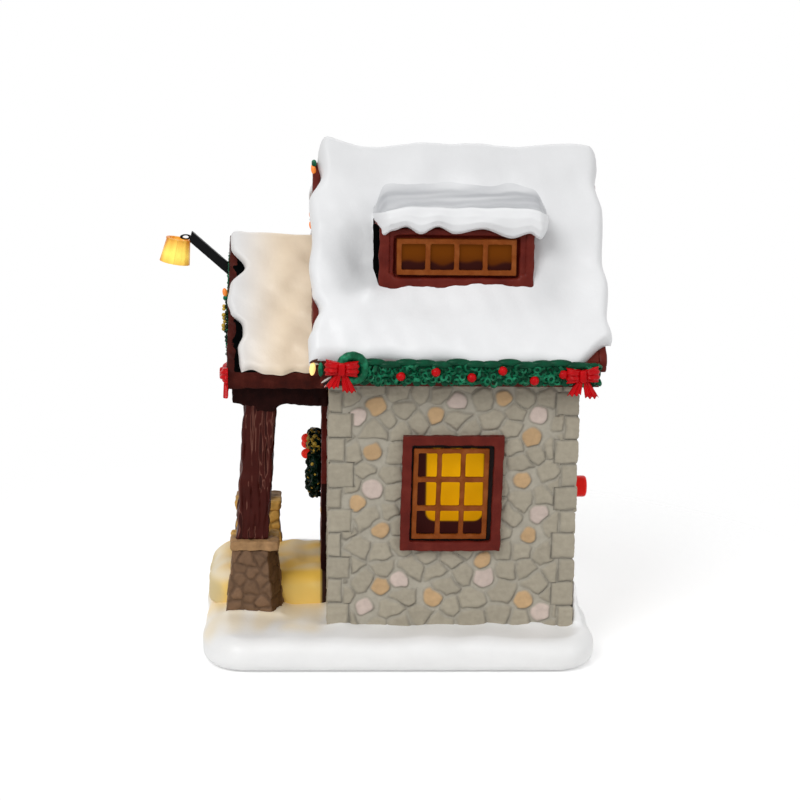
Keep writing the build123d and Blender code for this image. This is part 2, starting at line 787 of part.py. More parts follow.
with BuildPart() as porch_deck:
    across(both_sides([(0, porch_ridge), (porch_eave, porch_ridge - porch_eave * porch_slope),
                       (porch_eave, porch_base_ridge - porch_eave * porch_slope), (0, porch_base_ridge)]),
           porch_front, house_front)
save(porch_deck, "porch_deck")

with BuildPart() as porch_bargeboards:
    across(both_sides([(0, porch_ridge), (porch_eave, porch_ridge - porch_eave * porch_slope),
                       (porch_eave, porch_base_ridge - porch_eave * porch_slope), (0, porch_base_ridge)]),
           porch_gable_front, porch_front)
save(porch_bargeboards, "porch_bargeboards")

with BuildPart() as porch_snow:
    porch_lip = porch_eave + porch_snow_lip
    across(both_sides([(0, porch_snow_ridge), (porch_lip, porch_snow_ridge - porch_lip * porch_slope),
                       (porch_lip, porch_ridge - porch_lip * porch_slope), (0, porch_ridge)]),
           porch_gable_front, house_front)
    fillet(porch_snow.edges().group_by(Axis.Z)[-1], porch_snow_ridge_round)
save(porch_snow, "porch_snow")

with BuildPart() as porch_gable_board:
    across(both_sides([(0, beam_bottom + gable_board_drop), (beam_inner, beam_bottom + gable_board_drop),
                       (beam_inner, porch_base_ridge - beam_inner * porch_slope), (0, porch_base_ridge)]),
           porch_front, porch_front + gable_board_thickness)
save(porch_gable_board, "porch_gable_board")

# Eave garlands with their berries, wreaths and bows
garland_front = deck_front + garland_front_inset
garland_back = deck_back - garland_rear_inset
garland_length = garland_back - garland_front
garland_face = fascia_x + garland_thickness
garland_foot = eave_top - garland_height
leaf_count = int(garland_length / leaf_pitch)
wreath_place = (garland_face, deck_front + eave_wreath_place, eave_top + eave_wreath_lift)
bow_level = garland_foot + bow_lift
bow_places = ((garland_face + eave_wreath_thickness, deck_front + front_bow_place),
              (garland_face, deck_back - rear_bow_place))
berry_room = berry_radius + berry_gap
berries_front = deck_front + eave_wreath_place + eave_wreath_diameter / 2 + berry_room
berries_back = deck_back - rear_bow_place - bow_width / 2 - berry_room

for side_name, sign in (("right", 1), ("left", -1)):
    with BuildPart() as eave_garland:
        garland_middle = (garland_front + garland_back) / 2
        with BuildSketch(side_plane(sign, fascia_x, garland_middle, garland_foot)) as leaves:
            with Locations((0, garland_height / 2)):
                Rectangle(garland_length, garland_height)
            with GridLocations(garland_length / leaf_count, 0, leaf_count, 1):
                Circle(leaf_radius)
        extrude(leaves.sketch, amount=garland_thickness)
    save(eave_garland, f"eave_garland_{side_name}")

with BuildPart() as eave_wreaths:
    for sign in (1, -1):
        ring(side_plane(sign, *wreath_place), eave_wreath_diameter, eave_wreath_band, eave_wreath_thickness)
save(eave_wreaths, "eave_wreaths")

with BuildPart() as garland_berries:
    for sign in (1, -1):
        for share in berry_places_shares:
            berry_y = berries_front + share * (berries_back - berries_front)
            dome(side_plane(sign, garland_face, berry_y, garland_foot + garland_height / 2), berry_radius)
    with Locations(front_plane(0, door_face - wreath_thickness, wreath_z).location):
        with PolarLocations((wreath_diameter - wreath_band) / 2, len(berry_places_shares)):
            Sphere(berry_radius, arc_size1=0, align=(Align.CENTER, Align.CENTER, Align.MIN))
save(garland_berries, "garland_berries")

with BuildPart() as ribbon_bows:
    for sign in (1, -1):
        for bow_face, bow_y in bow_places:
            bow(side_plane(sign, bow_face, bow_y, bow_level))
        porch_bow_z = (porch_ridge + porch_base_ridge) / 2 - porch_bow_place * porch_slope
        bow(front_plane(sign * porch_bow_place, porch_gable_front, porch_bow_z))
save(ribbon_bows, "ribbon_bows")

# Evergreen on the porch gable, and the bulbs on it and on the main gable
porch_garland_fall = porch_garland_height / cos(radians(porch_pitch))
porch_garland_face = porch_gable_front - porch_garland_thickness
gable_bulb_level = deck_ridge - bulb_level_share * (deck_ridge - deck_base_ridge)
porch_garland_end = porch_bow_place - bow_width / 2 - porch_garland_gap
porch_bulb_level = porch_base_ridge + porch_garland_fall / 2

with BuildPart() as string_lights:
    for sign in (1, -1):
        for share in gable_bulb_shares:
            bulb_x = share * eave_x
            dome(front_plane(sign * bulb_x, gable_front, gable_bulb_level - bulb_x * main_slope), bulb_radius)
        for share in porch_bulb_shares:
            bulb_x = porch_garland_start + share * (porch_garland_end - porch_garland_start)
            dome(front_plane(sign * bulb_x, porch_garland_face, porch_bulb_level - bulb_x * porch_slope),
                 bulb_radius)
save(string_lights, "string_lights")

with BuildPart() as porch_garland:
    for sign in (1, -1):
        edge = [(porch_garland_start, 0), (porch_garland_end, 0), (porch_garland_end, porch_garland_fall),
                (porch_garland_start, porch_garland_fall)]
        across([(sign * x, porch_base_ridge - x * porch_slope + z) for x, z in edge],
               porch_garland_face, porch_gable_front)
save(porch_garland, "porch_garland")

# Porch lamp on its slanted arm
arm_foot = (porch_front, beam_bottom + arm_rise)
arm_run = (-cos(radians(arm_angle)), sin(radians(arm_angle)))
arm_end = (arm_foot[0] + arm_run[0] * arm_length, arm_foot[1] + arm_run[1] * arm_length)
arm_half = arm_thickness / 2
foot_half = arm_half / cos(radians(arm_angle))
tip_y = arm_end[0] - arm_tip_length
shade_axis = (0, sin(radians(shade_tilt)), cos(radians(shade_tilt)))
shade_top = Plane(origin=(0, tip_y + arm_pin_radius, arm_end[1] - shade_drop), x_dir=(1, 0, 0),
                  z_dir=shade_axis)

with BuildPart() as lamp_arm:
    with BuildSketch(Plane.YZ.offset(-arm_width / 2)) as arm_profile:
        with BuildLine():
            Polyline((arm_foot[0], arm_foot[1] - foot_half),
                     (arm_end[0] - arm_run[1] * arm_half, arm_end[1] + arm_run[0] * arm_half),
                     (arm_end[0] + arm_run[1] * arm_half, arm_end[1] - arm_run[0] * arm_half),
                     (arm_foot[0], arm_foot[1] + foot_half), close=True)
        make_face()
        with Locations(((tip_y + arm_end[0]) / 2, arm_end[1])):
            Rectangle(arm_tip_length, arm_tip_thickness)
    extrude(arm_profile.sketch, amount=arm_width)
    with BuildSketch(shade_top) as pin:
        Circle(arm_pin_radius)
    extrude(pin.sketch, amount=shade_drop)
save(lamp_arm, "lamp_arm")

with BuildPart() as lamp_shade:
    with BuildSketch(shade_top) as shade_upper:
        Circle(shade_top_radius)
    with BuildSketch(shade_top.offset(-shade_height)) as shade_lower:
        Circle(shade_bottom_radius)
    loft([shade_lower.sketch.face(), shade_upper.sketch.face()])
    with BuildSketch(shade_top.offset(-shade_wall)) as hollow_upper:
        Circle(shade_top_radius - shade_wall)
    with BuildSketch(shade_top.offset(-shade_height)) as hollow_lower:
        Circle(shade_bottom_radius - shade_wall)
    loft([hollow_lower.sketch.face(), hollow_upper.sketch.face()], mode=Mode.SUBTRACT)
save(lamp_shade, "lamp_shade")

with BuildPart() as lamp_bulb:
    with BuildSketch(shade_top.offset(-shade_wall)) as stem:
        Circle(bulb_stem_radius)
    extrude(stem.sketch, amount=-bulb_stem_length)
    fillet(lamp_bulb.edges().group_by(Axis.Z)[0], bulb_stem_radius / 2)
save(lamp_bulb, "lamp_bulb")
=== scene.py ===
import json
import math
from contextlib import contextmanager

import bpy
import numpy as np
from mathutils import Matrix, Vector
from mathutils.bvhtree import BVHTree

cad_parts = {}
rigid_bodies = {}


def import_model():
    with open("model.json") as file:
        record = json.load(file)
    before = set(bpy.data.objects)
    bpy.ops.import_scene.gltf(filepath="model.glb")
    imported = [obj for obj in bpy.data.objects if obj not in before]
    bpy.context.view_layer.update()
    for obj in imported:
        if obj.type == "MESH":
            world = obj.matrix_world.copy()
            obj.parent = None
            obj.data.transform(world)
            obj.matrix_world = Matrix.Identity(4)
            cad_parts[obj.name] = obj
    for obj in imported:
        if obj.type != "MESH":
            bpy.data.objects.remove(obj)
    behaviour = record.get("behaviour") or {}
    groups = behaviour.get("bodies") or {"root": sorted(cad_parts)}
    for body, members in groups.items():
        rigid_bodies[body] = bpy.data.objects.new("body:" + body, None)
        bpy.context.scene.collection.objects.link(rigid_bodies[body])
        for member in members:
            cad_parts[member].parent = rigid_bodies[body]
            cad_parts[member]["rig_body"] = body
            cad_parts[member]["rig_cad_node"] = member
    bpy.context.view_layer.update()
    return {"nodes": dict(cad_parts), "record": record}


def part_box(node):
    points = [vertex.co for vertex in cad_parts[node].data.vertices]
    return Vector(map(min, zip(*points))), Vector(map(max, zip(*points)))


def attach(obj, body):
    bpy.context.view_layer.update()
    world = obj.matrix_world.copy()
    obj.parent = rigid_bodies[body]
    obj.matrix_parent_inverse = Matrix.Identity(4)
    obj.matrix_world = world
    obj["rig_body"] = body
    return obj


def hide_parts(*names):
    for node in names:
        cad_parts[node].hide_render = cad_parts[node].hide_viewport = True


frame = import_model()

# Work is in millimetres here; writePoints turns it to the frame's metres.

bothSides = (("right", 1), ("left", -1))


def deselectAll():
    if bpy.context.object and bpy.context.object.mode != "OBJECT":
        bpy.ops.object.mode_set(mode="OBJECT")
    bpy.ops.object.select_all(action="DESELECT")


def pick(obj):
    deselectAll()
    obj.select_set(True)
    bpy.context.view_layer.objects.active = obj


def named(name):
    obj = bpy.context.object
    obj.name = obj.data.name = name
    return obj


def readPoints(obj):
    flat = np.empty(len(obj.data.vertices) * 3, np.float32)
    obj.data.vertices.foreach_get("co", flat)
    return flat.reshape(-1, 3).astype(float) * 1000


def writePoints(obj, points):
    obj.data.vertices.foreach_set("co", (points / 1000).astype(np.float32).ravel())
    obj.data.update()


def readNormals(obj):
    flat = np.empty(len(obj.data.vertices) * 3, np.float32)
    obj.data.vertices.foreach_get("normal", flat)
    return flat.reshape(-1, 3).astype(float)


def nodeBox(node):
    lo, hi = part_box(node)
    return np.array(lo) * 1000, np.array(hi) * 1000


def modify(obj, kind, **settings):
    pick(obj)
    modifier = obj.modifiers.new(kind.title(), kind)
    for key, value in settings.items():
        setattr(modifier, key, value)
    bpy.ops.object.modifier_apply(modifier=modifier.name)


@contextmanager
def editing(obj):                    # edit mode with the whole mesh selected
    pick(obj)
    bpy.ops.object.mode_set(mode="EDIT")
    bpy.ops.mesh.select_all(action="SELECT")
    yield
    bpy.ops.object.mode_set(mode="OBJECT")


def tidyMesh(obj, gap=0.02):
    with editing(obj):
        bpy.ops.mesh.remove_doubles(threshold=gap / 1000)
        bpy.ops.mesh.normals_make_consistent(inside=False)


def cubeMesh(name, size, middle):
    deselectAll()
    bpy.ops.mesh.primitive_cube_add(size=0.001)
    obj = named(name)
    writePoints(obj, readPoints(obj) * size + middle)
    return obj


def joinAll(objs, name):
    deselectAll()
    for obj in objs:
        obj.select_set(True)
    bpy.context.view_layer.objects.active = objs[0]
    bpy.ops.object.join()
    return named(name)


def joinCoated(name, *pairs):        # pieces that each take a finish, joined in one mesh
    for obj, finish in pairs:
        obj.data.materials.append(finish)
    return joinAll([obj for obj, finish in pairs], name)


def lumps(points, size, seed):       # soft bumps between about -1 and 1
    rng = np.random.default_rng(seed)
    total = np.zeros(len(points))
    for _ in range(9):
        way = rng.normal(size=3)
        way *= 2 * np.pi / size * rng.uniform(0.6, 1.5) / np.linalg.norm(way)
        total += np.sin(points @ way + rng.uniform(0, 2 * np.pi))
    return total / 3


def easeStep(value):
    value = np.clip(value, 0, 1)
    return value * value * (3 - 2 * value)


def easeFrom(value, start, width):   # 0 at the start, 1 a width further on; a negative width runs backwards
    return easeStep((value - start) / width)


def blendPaint(first, second, share):
    share = np.reshape(share, (-1, 1))
    return np.array(first) * (1 - share) + np.array(second) * share


def rollOff(distance, radius):       # quarter-round edge: 0 at the edge, 1 past the radius
    left = 1 - np.clip(distance / radius, 0, 1)
    return np.sqrt(np.maximum(1 - left * left, 0))


def softKnots(value, knots):         # smooth line through given (place, value) pairs
    places = np.array([k[0] for k in knots], float)
    heights = np.array([k[1] for k in knots], float)
    at = np.clip(value, places[0], places[-1])
    left = np.clip(np.searchsorted(places, at, side="right") - 1, 0, len(places) - 2)
    share = easeStep((at - places[left]) / (places[left + 1] - places[left]))
    return heights[left] * (1 - share) + heights[left + 1] * share


def makeSlab(name, cols, rows, place):   # a grid pulled up into a slab, then put in place by (u, v, w)
    deselectAll()
    bpy.ops.mesh.primitive_grid_add(x_subdivisions=cols, y_subdivisions=rows, size=1)
    obj = named(name)
    with editing(obj):
        bpy.ops.mesh.extrude_region_move(TRANSFORM_OT_translate={"value": (0, 0, 1)})
    share = readPoints(obj) / 1000 + (0.5, 0.5, 0)
    u, v, w = share.T
    x, y, z, *paint = place(u, v, w)
    writePoints(obj, np.column_stack([x, y, z]))
    if paint:
        paintPoints(obj, *paint)
    tidyMesh(obj)
    return obj


def clayCopy(name, nodes, grain, soften=3, dents=0.0, dentSize=6.0, seed=1):
    copies = []
    for node in nodes:
        deselectAll()
        copy = frame["nodes"][node].copy()
        copy.data = copy.data.copy()
        copy.parent = None
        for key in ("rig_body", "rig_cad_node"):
            if key in copy:
                del copy[key]
        bpy.context.scene.collection.objects.link(copy)
        copies.append(copy)
    obj = joinAll(copies, name)
    obj.data.materials.clear()
    with editing(obj):
        bpy.ops.mesh.remove_doubles(threshold=1e-6)
    modify(obj, "REMESH", mode="VOXEL", voxel_size=grain / 1000)
    if soften:
        modify(obj, "SMOOTH", factor=0.5, iterations=soften)
    if dents:
        points = readPoints(obj)
        swell = lumps(points, dentSize, seed) * 0.7 + lumps(points, dentSize / 2.7, seed + 1) * 0.3
        writePoints(obj, points + readNormals(obj) * (swell * dents)[:, None])
    return obj


def stampCopies(name, template, places):   # one shape copied to many places, in one mesh of its own
    points = readPoints(template)
    faces = [list(face.vertices) for face in template.data.polygons]
    every = np.concatenate([points @ turn.T + offset for turn, offset in places])
    joined = [[i + k * len(points) for i in face] for k in range(len(places)) for face in faces]
    mesh = bpy.data.meshes.new(name)
    mesh.from_pydata((every / 1000).tolist(), [], joined)
    obj = bpy.data.objects.new(name, mesh)
    bpy.context.scene.collection.objects.link(obj)
    return obj


def spreadOut(points, spacing, rng):     # places that keep a least distance from each other
    chosen = np.empty((len(points), 3))
    picked = []
    for k in rng.permutation(len(points)):
        if not picked or np.min(np.sum((chosen[:len(picked)] - points[k]) ** 2, axis=1)) > spacing ** 2:
            chosen[len(picked)] = points[k]
            picked.append(k)
    return picked


def discard(obj):
    bpy.data.objects.remove(obj)


def turned(rx, ry, rz, size=1.0):
    turn = Matrix.Rotation(rz, 3, "Z") @ Matrix.Rotation(ry, 3, "Y") @ Matrix.Rotation(rx, 3, "X")
    return np.array(turn) @ np.diag(np.ones(3) * size)


def paintPoints(obj, name, colours):
    layer = obj.data.color_attributes.new(name, "FLOAT_COLOR", "POINT")
    rgba = np.ones((len(colours), 4), np.float32)
    rgba[:, :3] = colours
    layer.data.foreach_set("color", rgba.ravel())


def dress(obj, material, slotName, *replaced, smooth=45, body="house"):
    pick(obj)
    bpy.ops.object.shade_smooth_by_angle(angle=math.radians(smooth))
    if material:
        obj.data.materials.clear()
        obj.data.materials.append(material)
    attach(obj, body)
    if replaced:
        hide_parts(*replaced)
    return obj


# Finishes. Each reads Object coordinates or the piece's own painted attribute.

def shaderOf(material):
    return material.node_tree.nodes["Principled BSDF"]


def newFinish(name, colour, roughness, **sockets):
    material = bpy.data.materials.new(name)
    material.use_nodes = True
    shader = shaderOf(material)
    shader.inputs["Base Color"].default_value = (*colour, 1)
    shader.inputs["Roughness"].default_value = roughness
    for key, value in sockets.items():
        shader.inputs[key.replace("_", " ")].default_value = value
    return material


def addNode(material, kind, **settings):
    node = material.node_tree.nodes.new(kind)
    for key, value in settings.items():
        if key in node.inputs:
            node.inputs[key].default_value = value
        else:
            setattr(node, key, value)
    return node


def link(material, source, target):
    material.node_tree.links.new(source, target)


def patternPlace(material, stretch=(1, 1, 1)):
    coords = addNode(material, "ShaderNodeTexCoord")
    mapping = addNode(material, "ShaderNodeMapping")
    mapping.inputs["Scale"].default_value = stretch
    link(material, coords.outputs["Object"], mapping.inputs["Vector"])
    return mapping.outputs["Vector"]


def mottle(material, colours, scale, stretch=(1, 1, 1), detail=4, spread=(0.35, 0.65)):
    noise = addNode(material, "ShaderNodeTexNoise", Scale=scale, Detail=detail)
    link(material, patternPlace(material, stretch), noise.inputs["Vector"])
    ramp = addNode(material, "ShaderNodeValToRGB")
    stops = ramp.color_ramp.elements
    while len(stops) < len(colours):
        stops.new(0.5)
    for k, colour in enumerate(colours):
        stops[k].position = spread[0] + (spread[1] - spread[0]) * k / (len(colours) - 1)
        stops[k].color = (*colour, 1)
    link(material, noise.outputs["Fac"], ramp.inputs["Fac"])
    link(material, ramp.outputs["Color"], shaderOf(material).inputs["Base Color"])


def roughen(material, scale, depth, stretch=(1, 1, 1), detail=3):
    noise = addNode(material, "ShaderNodeTexNoise", Scale=scale, Detail=detail)
    link(material, patternPlace(material, stretch), noise.inputs["Vector"])
    bump = addNode(material, "ShaderNodeBump", Strength=1.0, Distance=depth / 1000)
    link(material, noise.outputs["Fac"], bump.inputs["Height"])
    link(material, bump.outputs["Normal"], shaderOf(material).inputs["Normal"])


def tinted(name, attribute, roughness, speckScale, speck, **sockets):   # painted tint under fine specks
    material = newFinish(name, (0.5, 0.5, 0.5), roughness, **sockets)
    paint = addNode(material, "ShaderNodeAttribute", attribute_name=attribute)
    noise = addNode(material, "ShaderNodeTexNoise", Scale=speckScale, Detail=5)
    link(material, patternPlace(material), noise.inputs["Vector"])
    ramp = addNode(material, "ShaderNodeValToRGB")
    for stop, position, level in zip(ramp.color_ramp.elements, (0.3, 0.7), (1 - speck, 1 + speck)):
        stop.position = position
        stop.color = (level, level, level, 1)
    mix = addNode(material, "ShaderNodeMix", data_type="RGBA", blend_type="MULTIPLY")
    mix.inputs["Factor"].default_value = 1.0
    link(material, noise.outputs["Fac"], ramp.inputs["Fac"])
    link(material, paint.outputs["Color"], mix.inputs[6])
    link(material, ramp.outputs["Color"], mix.inputs[7])
    link(material, mix.outputs[2], shaderOf(material).inputs["Base Color"])
    return material


def speckled(name, colour, roughness, spread, scale=260, **sockets):      # one paint, a little uneven in tone
    material = newFinish(name, colour, roughness, **sockets)
    mottle(material, [[channel * level for channel in colour] for level in (1 - spread, 1 + spread)], scale)
    roughen(material, 2 * scale, 0.08)
    return material


def glowing(name, attribute, strength, roughness, **sockets):           # painted tint as colour and as light
    material = newFinish(name, (0.5, 0.4, 0.2), roughness, **sockets)
    paint = addNode(material, "ShaderNodeAttribute", attribute_name=attribute)
    shader = shaderOf(material)
    link(material, paint.outputs["Color"], shader.inputs["Base Color"])
    link(material, paint.outputs["Color"], shader.inputs["Emission Color"])
    shader.inputs["Emission Strength"].default_value = strength
    return material


snowGlaze = newFinish("snowGlaze", (0.83, 0.835, 0.845), 0.42)
mottle(snowGlaze, [(0.78, 0.785, 0.8), (0.85, 0.855, 0.86)], 45, detail=3)
roughen(snowGlaze, 320, 0.12)
tintedSnow = tinted("tintedSnow", "snowTint", 0.42, 60, 0.03)
roughen(tintedSnow, 320, 0.12)
litSnow = tinted("litSnow", "snowTint", 0.55, 60, 0.03, Specular_IOR_Level=0.15)
roughen(litSnow, 320, 0.12)
stoneGlaze = tinted("stoneGlaze", "stoneTint", 0.62, 420, 0.07, Specular_IOR_Level=0.2)
roughen(stoneGlaze, 900, 0.1)
pierStone = tinted("pierStone", "stoneTint", 0.62, 500, 0.14, Specular_IOR_Level=0.15)
roughen(pierStone, 900, 0.15)
maroonPaint = newFinish("maroonPaint", (0.115, 0.012, 0.007), 0.4, Specular_IOR_Level=0.12)
mottle(maroonPaint, [(0.085, 0.008, 0.005), (0.118, 0.0125, 0.0075), (0.15, 0.021, 0.013)], 160,
       spread=(0.25, 0.75))
roughen(maroonPaint, 420, 0.2)
# The next two are darker copies of the maroon paint: painted shade under the porch roof
shadedMaroon = newFinish("shadedMaroon", (0.045, 0.006, 0.003), 0.45, Specular_IOR_Level=0.08)
mottle(shadedMaroon, [(0.028, 0.0035, 0.002), (0.05, 0.0065, 0.0035), (0.09, 0.016, 0.01)], 220,
       spread=(0.25, 0.78))
roughen(shadedMaroon, 420, 0.2)
deepShadedMaroon = newFinish("deepShadedMaroon", (0.014, 0.0025, 0.002), 0.5, Specular_IOR_Level=0.05)
mottle(deepShadedMaroon, [(0.01, 0.0018, 0.0014), (0.02, 0.004, 0.003)], 240)
# lighter streaks along the grain: worn paint, and a painted highlight
postPaint = newFinish("postPaint", (0.06, 0.009, 0.0055), 0.42, Specular_IOR_Level=0.1)
mottle(postPaint, [(0.05, 0.0065, 0.004), (0.062, 0.0095, 0.006), (0.17, 0.07, 0.05), (0.064, 0.0095, 0.006),
                   (0.03, 0.004, 0.0026)], 620, (1, 1, 0.045), detail=1, spread=(0.53, 0.63))
doorPaint = newFinish("doorPaint", (0.06, 0.011, 0.006), 0.4, Specular_IOR_Level=0.12)
mottle(doorPaint, [(0.035, 0.006, 0.0035), (0.075, 0.015, 0.009)], 700, (1, 1, 0.05))
sashPaint = newFinish("sashPaint", (0.22, 0.052, 0.008), 0.45, Specular_IOR_Level=0.1)
mottle(sashPaint, [(0.175, 0.039, 0.005), (0.22, 0.052, 0.0075), (0.27, 0.075, 0.016)], 240,
       spread=(0.3, 0.7))
amberPane = glowing("amberPane", "glow", 0.62, 0.5, Specular_IOR_Level=0.04)
evergreen = newFinish("evergreen", (0.006, 0.1, 0.045), 0.32, Specular_IOR_Level=0.12)
mottle(evergreen, [(0.002, 0.045, 0.019), (0.005, 0.105, 0.047), (0.02, 0.26, 0.13)], 330, spread=(0.3, 0.7))
evergreenDark = speckled("evergreenDark", (0.002, 0.058, 0.026), 0.3, 0.3, Specular_IOR_Level=0.1)
# nearly black green: painted shade on the door wreath under the porch roof; the porch garland's tuft takes it
# too
wreathDark = speckled("wreathDark", (0.002, 0.014, 0.006), 0.35, 0.35, Specular_IOR_Level=0.1)
redGloss = speckled("redGloss", (0.5, 0.0035, 0.006), 0.22, 0.14, Specular_IOR_Level=0.1)
# painted light: the wreath's red balls glow a little
redLit = speckled("redLit", (0.7, 0.018, 0.01), 0.25, 0.1, Specular_IOR_Level=0.15,
                  Emission_Color=(0.8, 0.03, 0.015, 1), Emission_Strength=0.35)
buttonRed = speckled("buttonRed", (0.9, 0.012, 0.007), 0.3, 0.07, Specular_IOR_Level=0.12)
goldPaint = speckled("goldPaint", (0.55, 0.36, 0.05), 0.35, 0.25, Specular_IOR_Level=0.2)
warmBulb = speckled("warmBulb", (0.75, 0.2, 0.025), 0.25, 0.1,
                    Emission_Color=(1.0, 0.27, 0.03, 1), Emission_Strength=0.3)
litBulb = speckled("litBulb", (0.95, 0.62, 0.2), 0.25, 0.05,
                   Emission_Color=(1.0, 0.7, 0.25, 1), Emission_Strength=0.7)
bulbBrown = speckled("bulbBrown", (0.07, 0.02, 0.01), 0.4, 0.2, Specular_IOR_Level=0.15)
wireWhite = speckled("wireWhite", (0.6, 0.55, 0.5), 0.45, 0.1)
lampShadeAmber = glowing("lampShadeAmber", "glow", 0.5, 0.4, Specular_IOR_Level=0.2)
blackIron = speckled("blackIron", (0.003, 0.003, 0.0035), 0.4, 0.25, Specular_IOR_Level=0.1)
# flat black: painted shade in the hollow beside the dormer cheek and on the porch deck's top
shadowBlack = speckled("shadowBlack", (0.002, 0.0024, 0.0024), 0.9, 0.2, Specular_IOR_Level=0.0)
brass = speckled("brass", (0.62, 0.4, 0.13), 0.3, 0.1, Metallic=1.0)
darkPlastic = speckled("darkPlastic", (0.02, 0.02, 0.022), 0.5, 0.12)
brightSteel = speckled("brightSteel", (0.6, 0.6, 0.6), 0.28, 0.08, Metallic=1.0)
circuitGreen = speckled("circuitGreen", (0.01, 0.11, 0.04), 0.35, 0.15)
cellJacket = speckled("cellJacket", (0.03, 0.035, 0.05), 0.35, 0.12)
leadCover = speckled("leadCover", (0.35, 0.02, 0.02), 0.5, 0.12)

slotFinish = dict(
    snow_glaze=snowGlaze, stone_glaze=stoneGlaze, maroon_paint=maroonPaint, post_paint=postPaint,
    pier_stone=pierStone, cap_stone=pierStone, door_paint=doorPaint, sash_paint=sashPaint,
    amber_pane=amberPane, evergreen=evergreen, red_gloss=redGloss, warm_bulb=warmBulb,
    lamp_shade_amber=lampShadeAmber, black_iron=blackIron, brass=brass, dark_plastic=darkPlastic,
    bright_steel=brightSteel, circuit_green=circuitGreen, cell_jacket=cellJacket, lead_cover=leadCover)
for part in frame["record"]["subparts"]:     # every CAD node starts with the finish of its slot
    mesh = frame["nodes"][part["node"]].data
    mesh.materials.clear()
    mesh.materials.append(slotFinish[part["material_slot"]])
print("finishes ready")


# Snow on the two gable roofs, from the ridge down both slopes.

def gableSnow(name, roof):
    slope, ridge = roof["slope"], roof["ridge"]
    tilt = math.atan(slope)
    reach = roof["eaveX"] / math.cos(tilt)

    def place(u, v, w):
        side = 2 * u - 1
        side = 0.6 * side + 0.4 * np.sin(side * np.pi / 2)        # closer rows at the eaves
        along = 0.65 * v + 0.35 * (0.5 - 0.5 * np.cos(v * np.pi))
        down = np.abs(side)
        x = down * roof["eaveX"]
        front = softKnots(x, roof["frontEdge"])
        back = softKnots(x, roof["backEdge"])
        y = front + (back - front) * along
        spot = np.column_stack([side * reach, y, 0 * y])
        waves = lumps(spot * (0, 1, 0), roof["scallopSize"], roof["seed"] + 5)
        length = reach + down ** 6 * roof["scallop"] * waves
        length += roof["eaveSlope"] * (y - front) * down ** 4
        length -= roof["backLift"] * easeFrom(y - back, -roof["backBand"], roof["backBand"]) * down ** 4
        run = down * length
        edge = rollOff(y - front, roof["roll"]) if roof["openFront"] else 1
        edge = edge * (rollOff(back - y, roof["roll"]) if roof["openBack"] else 1)
        edge = edge * rollOff(length - run, roof["roll"] * 1.2)
        calm = roof["lumpHeight"] * (0.35 + 0.65 * easeStep(run / roof["crestWidth"]))  # quieter at the ridge
        thick = roof["thickness"] + lumps(spot, roof["lumpSize"], roof["seed"]) * calm
        thick += lumps(spot, roof["lumpSize"] / 3, roof["seed"] + 1) * calm * 0.22
        for hollowX, hollowY, deep, wide in roof["hollows"]:
            away = np.hypot(down * reach - hollowX / math.cos(tilt), y - hollowY)
            thick -= deep * np.exp(-(away / wide) ** 2)
        for crestY, rise, wide in roof["crests"]:
            thick += rise * np.exp(-((y - crestY) / wide) ** 2 - (run / roof["crestWidth"]) ** 2)
        for bedX, bedY, left in roof["beds"]:                     # thin snow inside the dormers
            outer, inner, ends = roof["bedSoft"]
            bed = easeFrom(x, bedX[1], -outer) * easeFrom(x, bedX[0], inner)
            bed = bed * easeFrom(y, bedY[0], ends) * easeFrom(y, bedY[1], -ends)
            thick = thick * (1 - bed) + left * bed
        lift = w * np.maximum(thick, roof["leastThick"]) * edge + roof["clear"]
        bend = np.tanh(side * reach / roof["ridgeRound"])         # the two slopes meet in a soft ridge
        droop = roof["droop"] * np.maximum(down - 0.9, 0) / 0.1
        px = np.sign(side) * run * math.cos(tilt) + bend * lift * math.sin(tilt)
        pz = ridge + lift / math.cos(tilt) - slope * np.hypot(px, roof["ridgeRound"] * 0.25) - droop
        return px, y, pz

    return makeSlab(name, roof["cols"], roof["rows"], place)


snowOnDeck = dict(leastThick=1.2, clear=0.05, openFront=True, backBand=14, bedSoft=(1.6, 3, 1.5))
roofShape = dict(
    snowOnDeck, slope=1.2349, ridge=nodeBox("roof_deck")[1][2], eaveX=52.9, thickness=5.3, roll=4.0,
    ridgeRound=7.0, crestWidth=14, lumpHeight=0.95, lumpSize=30, scallop=1.4, scallopSize=17, droop=0.6,
    seed=4, openBack=True,
    frontEdge=[(0, -31), (5, -29.6), (11.2, -34), (22, -32.8), (28.4, -33.9), (35.5, -32.7), (40, -30.2),
               (44.6, -32.6), (47.1, -34.1), (51.4, -33.8), (57, -33)],
    backEdge=[(0, 73.6), (7, 72.2), (14, 74.4), (28, 73), (34, 74.6), (44, 73.4), (50, 74.9), (57, 73)],
    hollows=[(36, -12, -2.2, 4), (33, -17, 1.9, 6), (27, -15, 2.3, 7), (21, -20, 1.2, 9),
             (34, 54, 1.5, 7), (22, 61, 0.9, 10), (39, 3, 0.4, 9), (39, 38, 0.4, 9)],
    beds=[((21, 33.4), (-7.5, 45.5), 1.4)], backLift=11.0, eaveSlope=0.014,
    crests=[(-28.5, 2.4, 9), (-14, -0.6, 8), (63, 1.1, 8), (24, 0.3, 20)], cols=180, rows=130,
    white=(0.83, 0.835, 0.845), ridgeShade=0.09, ridgeShadeBand=(156, 22), hollowShade=0.09, hollowShadeShift=3,
    hollowShadeForm=(1.5, 1.4))
roofSnow = gableSnow("roofSnow", roofShape)
modify(roofSnow, "SMOOTH", factor=0.5, iterations=2)
points = readPoints(roofSnow)
